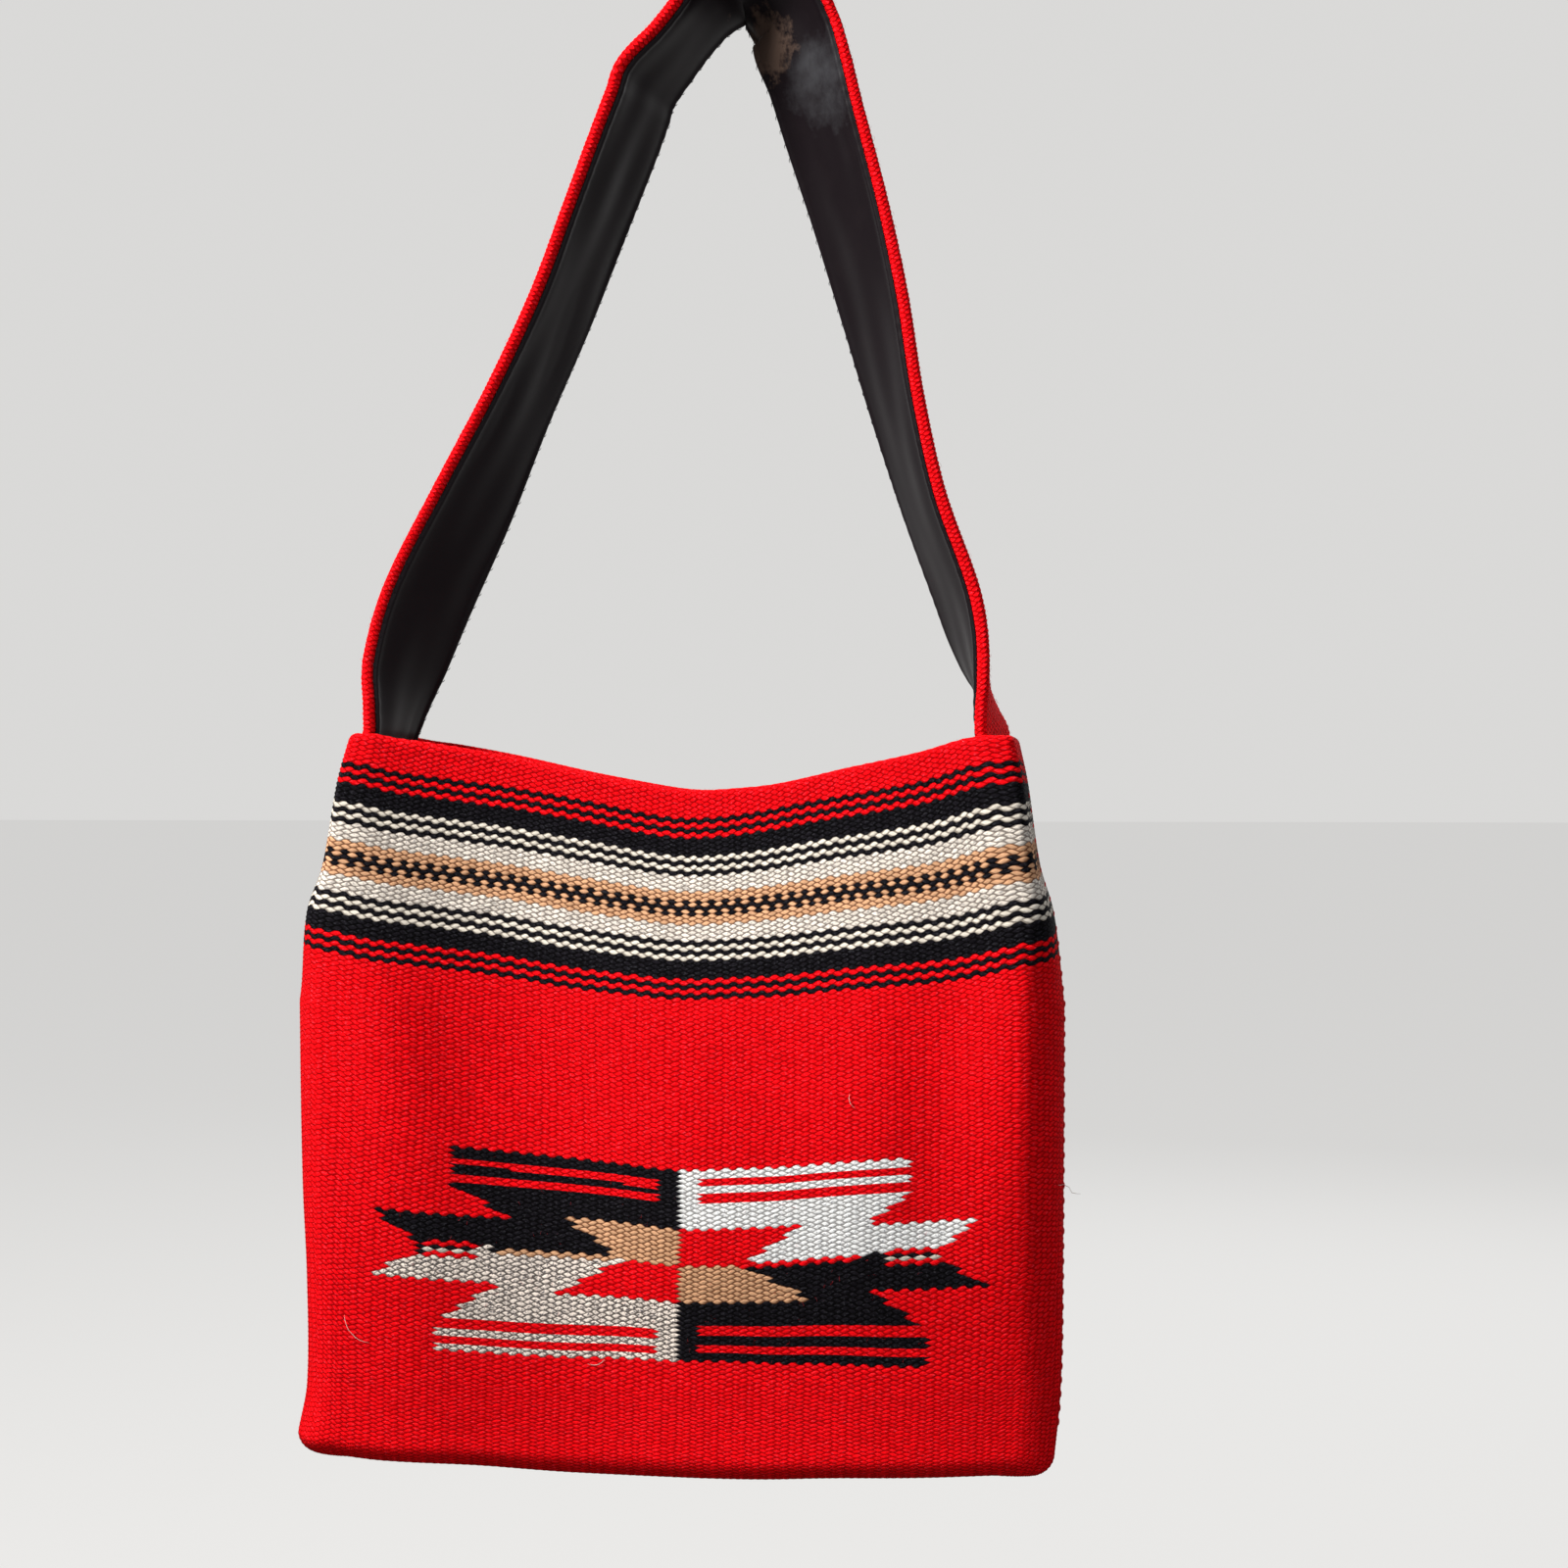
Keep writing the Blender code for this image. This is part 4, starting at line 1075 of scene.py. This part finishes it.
def yarn_group():
    """Spun wool: round beads with painted shade in their gaps, twisted fibres, flecks and painted sheen, and a
    tone for each bead.
    """
    group, given, out = group_of("spun_yarn", ("Colour", "Painted Groove Shade", "Fleck And Sheen Colour"),
                                 ("Fleck Amount", "Fleck Cover", "Tone Spread"))
    add, less, times, power = steps_of(group, "ADD", "SUBTRACT", "MULTIPLY", "POWER")
    weave_map = node(group, "UVMap", uv_map="weave").outputs[0]
    place = node(group, "SeparateXYZ", node(group, "UVMap", uv_map="bead_place").outputs[0])
    out_across, out_down = (maths(group, "ABSOLUTE", place.outputs[axis]) for axis in "XY")
    slant = times(add(out_across, times(out_down, 0.5)), 1 / 0.75)
    rim = power(add(power(slant, 3.0), power(out_down, 3.0)), 1 / 3)
    # Painted shade: the gaps between beads are blended towards the darker groove colour
    shaded_gap = node(group, "MapRange", rim, interpolation_type="SMOOTHSTEP", **GAP_SHADE_RANGE)
    dome = maths(group, "SQRT", less(1.0, power(rim, 2.0), True))
    twisted = node(group, "Mapping", weave_map, Rotation=(0, 0, FIBRE_LEAN), Scale=FIBRE_FINENESS)
    fibre = noise(group, twisted.outputs[0], 1.0, 3.0, 0.65)
    loose = noise(group, weave_map, LOOSE_FINENESS, 2.0, 0.6)
    patch = noise(group, weave_map, PATCH_FINENESS, 3.0, 0.55)
    bead = node(group, "Attribute", attribute_name="bead").outputs["Fac"]
    tone = times(less(bead, 0.5), given["Tone Spread"])
    level = add(add(tone, times(less(fibre, 0.5), 0.9)), add(times(less(patch, 0.5), 0.22), 1.0))
    shade = node(group, "VectorMath", given["Colour"], operation="SCALE", Scale=level)
    # Flecks: pale fibres, and in the red and the black wool also painted sheen
    fleck_and_sheen_mask = times(less(loose, less(1.0, given["Fleck Cover"])), 9.0, True)
    coloured = blended(group, times(fleck_and_sheen_mask, given["Fleck Amount"]), shade.outputs[0], given["Fleck And Sheen Colour"])
    put(group, out, {"Colour": blended(group, shaded_gap.outputs[0], coloured, given["Painted Groove Shade"]),
                     "Height": add(dome, add(times(fibre, 0.45), times(loose, 0.25)))})
    return group


def satin_group():
    """Fine satin threads, faint worn patches and the marks: a patch of painted sheen and a stain."""
    group, given, out = group_of(
        "satin_threads", ["Colour", "Worn Colour"] + [mark + " Colour" for mark in MARKS],
        ["Worn Amount"] + [mark + size for mark in MARKS for size in (" Reach", " Amount")],
        [mark + " Place" for mark in MARKS])
    less, times, over = steps_of(group, "SUBTRACT", "MULTIPLY", "DIVIDE")
    place = node(group, "TexCoord").outputs["Object"]
    worn = times(less(noise(group, place, SATIN_PATCH_FINENESS, 4.0, 0.65), 0.5), 4.0, True)
    cloth = blended(group, times(worn, given["Worn Amount"]), given["Colour"], given["Worn Colour"])
    # Each mark blends its colour in over a patch: a lighter patch of painted sheen, and a brown stain
    for mark, (_, _, _, scale, hardness) in MARKS.items():
        apart = node(group, "VectorMath", place, given[mark + " Place"], operation="DISTANCE").outputs["Value"]
        spread = less(times(noise(group, place, scale, 4.0, 0.7), 2.6), over(apart, given[mark + " Reach"]))
        share = times(times(spread, hardness, True), given[mark + " Amount"])
        cloth = blended(group, share, cloth, given[mark + " Colour"])
    put(group, out, {"Colour": cloth, "Height": noise(group, place, SATIN_FINENESS, 2.0, 0.6)})
    return group


def cloth_material(name, group, values, bump, roughness, specular):
    """A material that takes its colour and its height from a group; bump is a strength and a distance."""
    material, tree, shader = new_material(name)
    cloth = node(tree, "Group", node_tree=group, **values)
    raised = node(tree, "Bump", Strength=bump[0], Distance=bump[1], Height=cloth.outputs["Height"])
    put(tree, shader.inputs, {"Base Color": cloth.outputs["Colour"], "Normal": raised.outputs[0],
                              "Roughness": roughness, "Specular IOR Level": specular})
    return material, tree, shader


def wool(group, name, colour, groove_shade, fleck_and_sheen, amount, cover, spread, sheen=0.08, specular=0.06):
    # The groove colour is painted shade in the gaps between the beads
    material, tree, shader = cloth_material(name, group, {
        "Colour": colour, "Painted Groove Shade": groove_shade, "Fleck And Sheen Colour": fleck_and_sheen, "Fleck Amount": amount,
        "Fleck Cover": cover, "Tone Spread": spread}, WOOL_BUMP, 0.95, specular)
    put(tree, shader.inputs, {"Sheen Weight": sheen, "Sheen Roughness": 0.5, "Sheen Tint": colour})
    return material


def satin(name, group, colour, worn, worn_amount, roughness, mark_amounts=(0.0, 0.0)):
    values = {"Colour": colour, "Worn Colour": worn, "Worn Amount": worn_amount}
    for (mark, (place, reach, shade, _, _)), amount in zip(MARKS.items(), mark_amounts):
        values.update({mark + " Place": place, mark + " Reach": reach, mark + " Colour": shade,
                       mark + " Amount": amount})
    return cloth_material(name, group, values, SATIN_BUMP, roughness, SATIN_SPECULAR)[0]


def plain_fibre(name, colour):
    """A material for single fibres and sewing thread, a little uneven along its length."""
    material, tree, shader = new_material(name)
    uneven = noise(tree, node(tree, "TexCoord").outputs["Object"], 900.0, 2.0, 0.5)
    put(tree, shader.inputs, {"Base Color": blended(tree, uneven, tuple(0.6 * v for v in colour), colour),
                              "Roughness": 0.8, "Specular IOR Level": 0.2})
    return material


# Stage


def make_camera():
    data = bpy.data.cameras.new("photo_camera")
    data.sensor_width = SENSOR_MM
    data.lens = FOCAL_PX / FRAME_PX * SENSOR_MM
    data.clip_start = 0.05
    camera = in_scene("photo_camera", data)
    sine, cosine = math.sin(CAMERA_YAW), math.cos(CAMERA_YAW)
    camera.location = (CAMERA_ACROSS * cosine + CAMERA_DISTANCE * sine,
                       CAMERA_ACROSS * sine - CAMERA_DISTANCE * cosine, CAMERA_HEIGHT)
    camera.rotation_euler = (math.pi / 2, 0, CAMERA_YAW)
    bpy.context.scene.camera = camera


def make_lamp(name, place, size, watts, colour):
    data = bpy.data.lights.new(name, "AREA")
    data.shape, data.size, data.energy, data.color = "SQUARE", size, watts, colour
    lamp = in_scene(name, data)
    lamp.location = place
    x, y, z = np.array(LIT_PLACE) - place
    lamp.rotation_euler = (math.atan2(math.hypot(x, y), -z), 0, math.atan2(-x, y))


def seen_share(tree):
    """1 for rays that show the background itself: camera, glossy and transmission rays."""
    seen = node(tree, "LightPath").outputs
    total = maths(tree, "ADD", seen["Is Camera Ray"], seen["Is Glossy Ray"])
    return maths(tree, "ADD", total, seen["Is Transmission Ray"], True)


def make_stage():
    world = bpy.data.worlds.new("studio")
    bpy.context.scene.world = world
    world.use_nodes = True
    tree = world.node_tree
    put(tree, tree.nodes["Background"].inputs,
        {"Strength": 1.0, "Color": blended(tree, seen_share(tree), WORLD_LIGHT, WORLD_SEEN)})
    mesh = bpy.data.meshes.new("studio_floor")
    corners = [(x * FLOOR_REACH, y * FLOOR_REACH, FLOOR_Z) for x, y in ((-1, -1), (1, -1), (1, 1), (-1, 1))]
    mesh.from_pydata(corners, [], [(0, 1, 2, 3)])
    material, tree, shader = new_material("floor_paint")
    put(tree, shader.inputs, {"Base Color": FLOOR_COLOUR, "Roughness": 0.95, "Specular IOR Level": 0.0,
                              "Emission Strength": seen_share(tree), "Emission Color": FLOOR_SEEN})
    mesh.materials.append(material)
    in_scene("studio_floor", mesh)
    for lamp in LAMPS:
        make_lamp(*lamp)


def main():
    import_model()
    make_camera()
    yarn = yarn_group()
    wools = [wool(yarn, *values) for values in WOOLS.values()]
    threads = satin_group()
    # The strap's satin takes both marks: the painted sheen patch and the stain
    strap_black = satin("strap_satin", threads, (0.0062, 0.0040, 0.0052), (0.018, 0.013, 0.0145), 0.25, 0.42,
                        mark_amounts=(0.8, 0.9))
    bag_black = satin("lining_satin", threads, (0.008, 0.007, 0.008), (0.02, 0.018, 0.019), 0.1, 0.38)
    red_fibre = plain_fibre("red_fibre", (0.62, 0.010, 0.014))
    pale_fibre = plain_fibre("pale_fibre", (0.72, 0.66, 0.58))
    black_thread = plain_fibre("black_thread", (0.010, 0.009, 0.011))
    front, front_points = woven_half("woven_front", 1, wools)
    back, back_points = woven_half("woven_back", -1, wools)
    band, band_points = strap_band(wools)
    strip = strap_satin([strap_black])
    lining = lining_bag([bag_black])
    rim, wide, round_band = RIM_ROW_OFFSET, front_points.shape[1], band_points.shape[1]
    near_rim, below = (rim - 6, rim + 10), (rim + 88, len(front_points) - 10)
    over, outer = (2, wide - 2), (round_band // 4, 3 * round_band // 4)
    fuzz = loose_fibres((
        (front_points, 1, near_rim, over, 1300, *RIM_FUZZ), (back_points, -1, near_rim, over, 600, *RIM_FUZZ),
        (front_points, 1, below, over, 2200, *CLOTH_FUZZ), (back_points, -1, below, over, 900, *CLOTH_FUZZ),
        (band_points, 1, (20, len(band_points) - 20), outer, 2200, *STRAP_FUZZ)), [red_fibre])
    hairs = stray_hairs(front_points, [pale_fibre])
    seams = seam_stitches(front_points, [red_fibre])
    felling = slip_stitches([black_thread])
    for piece, nodes, slot in ((front, ("bag_body",), "wool"), (back, ("bag_body",), "wool"),
                               (band, ("strap",), "strap_wool"), (strip, ("strap_lining",), "satin"),
                               (lining, ("bag_lining",), "satin"), (fuzz, (), "wool"), (hairs, (), "wool"),
                               (seams, (), "wool"), (felling, (), "satin")):
        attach(piece, "root")
        if nodes:
            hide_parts(*nodes)
    make_stage()
    bpy.context.scene.view_settings.view_transform = "Standard"


main()
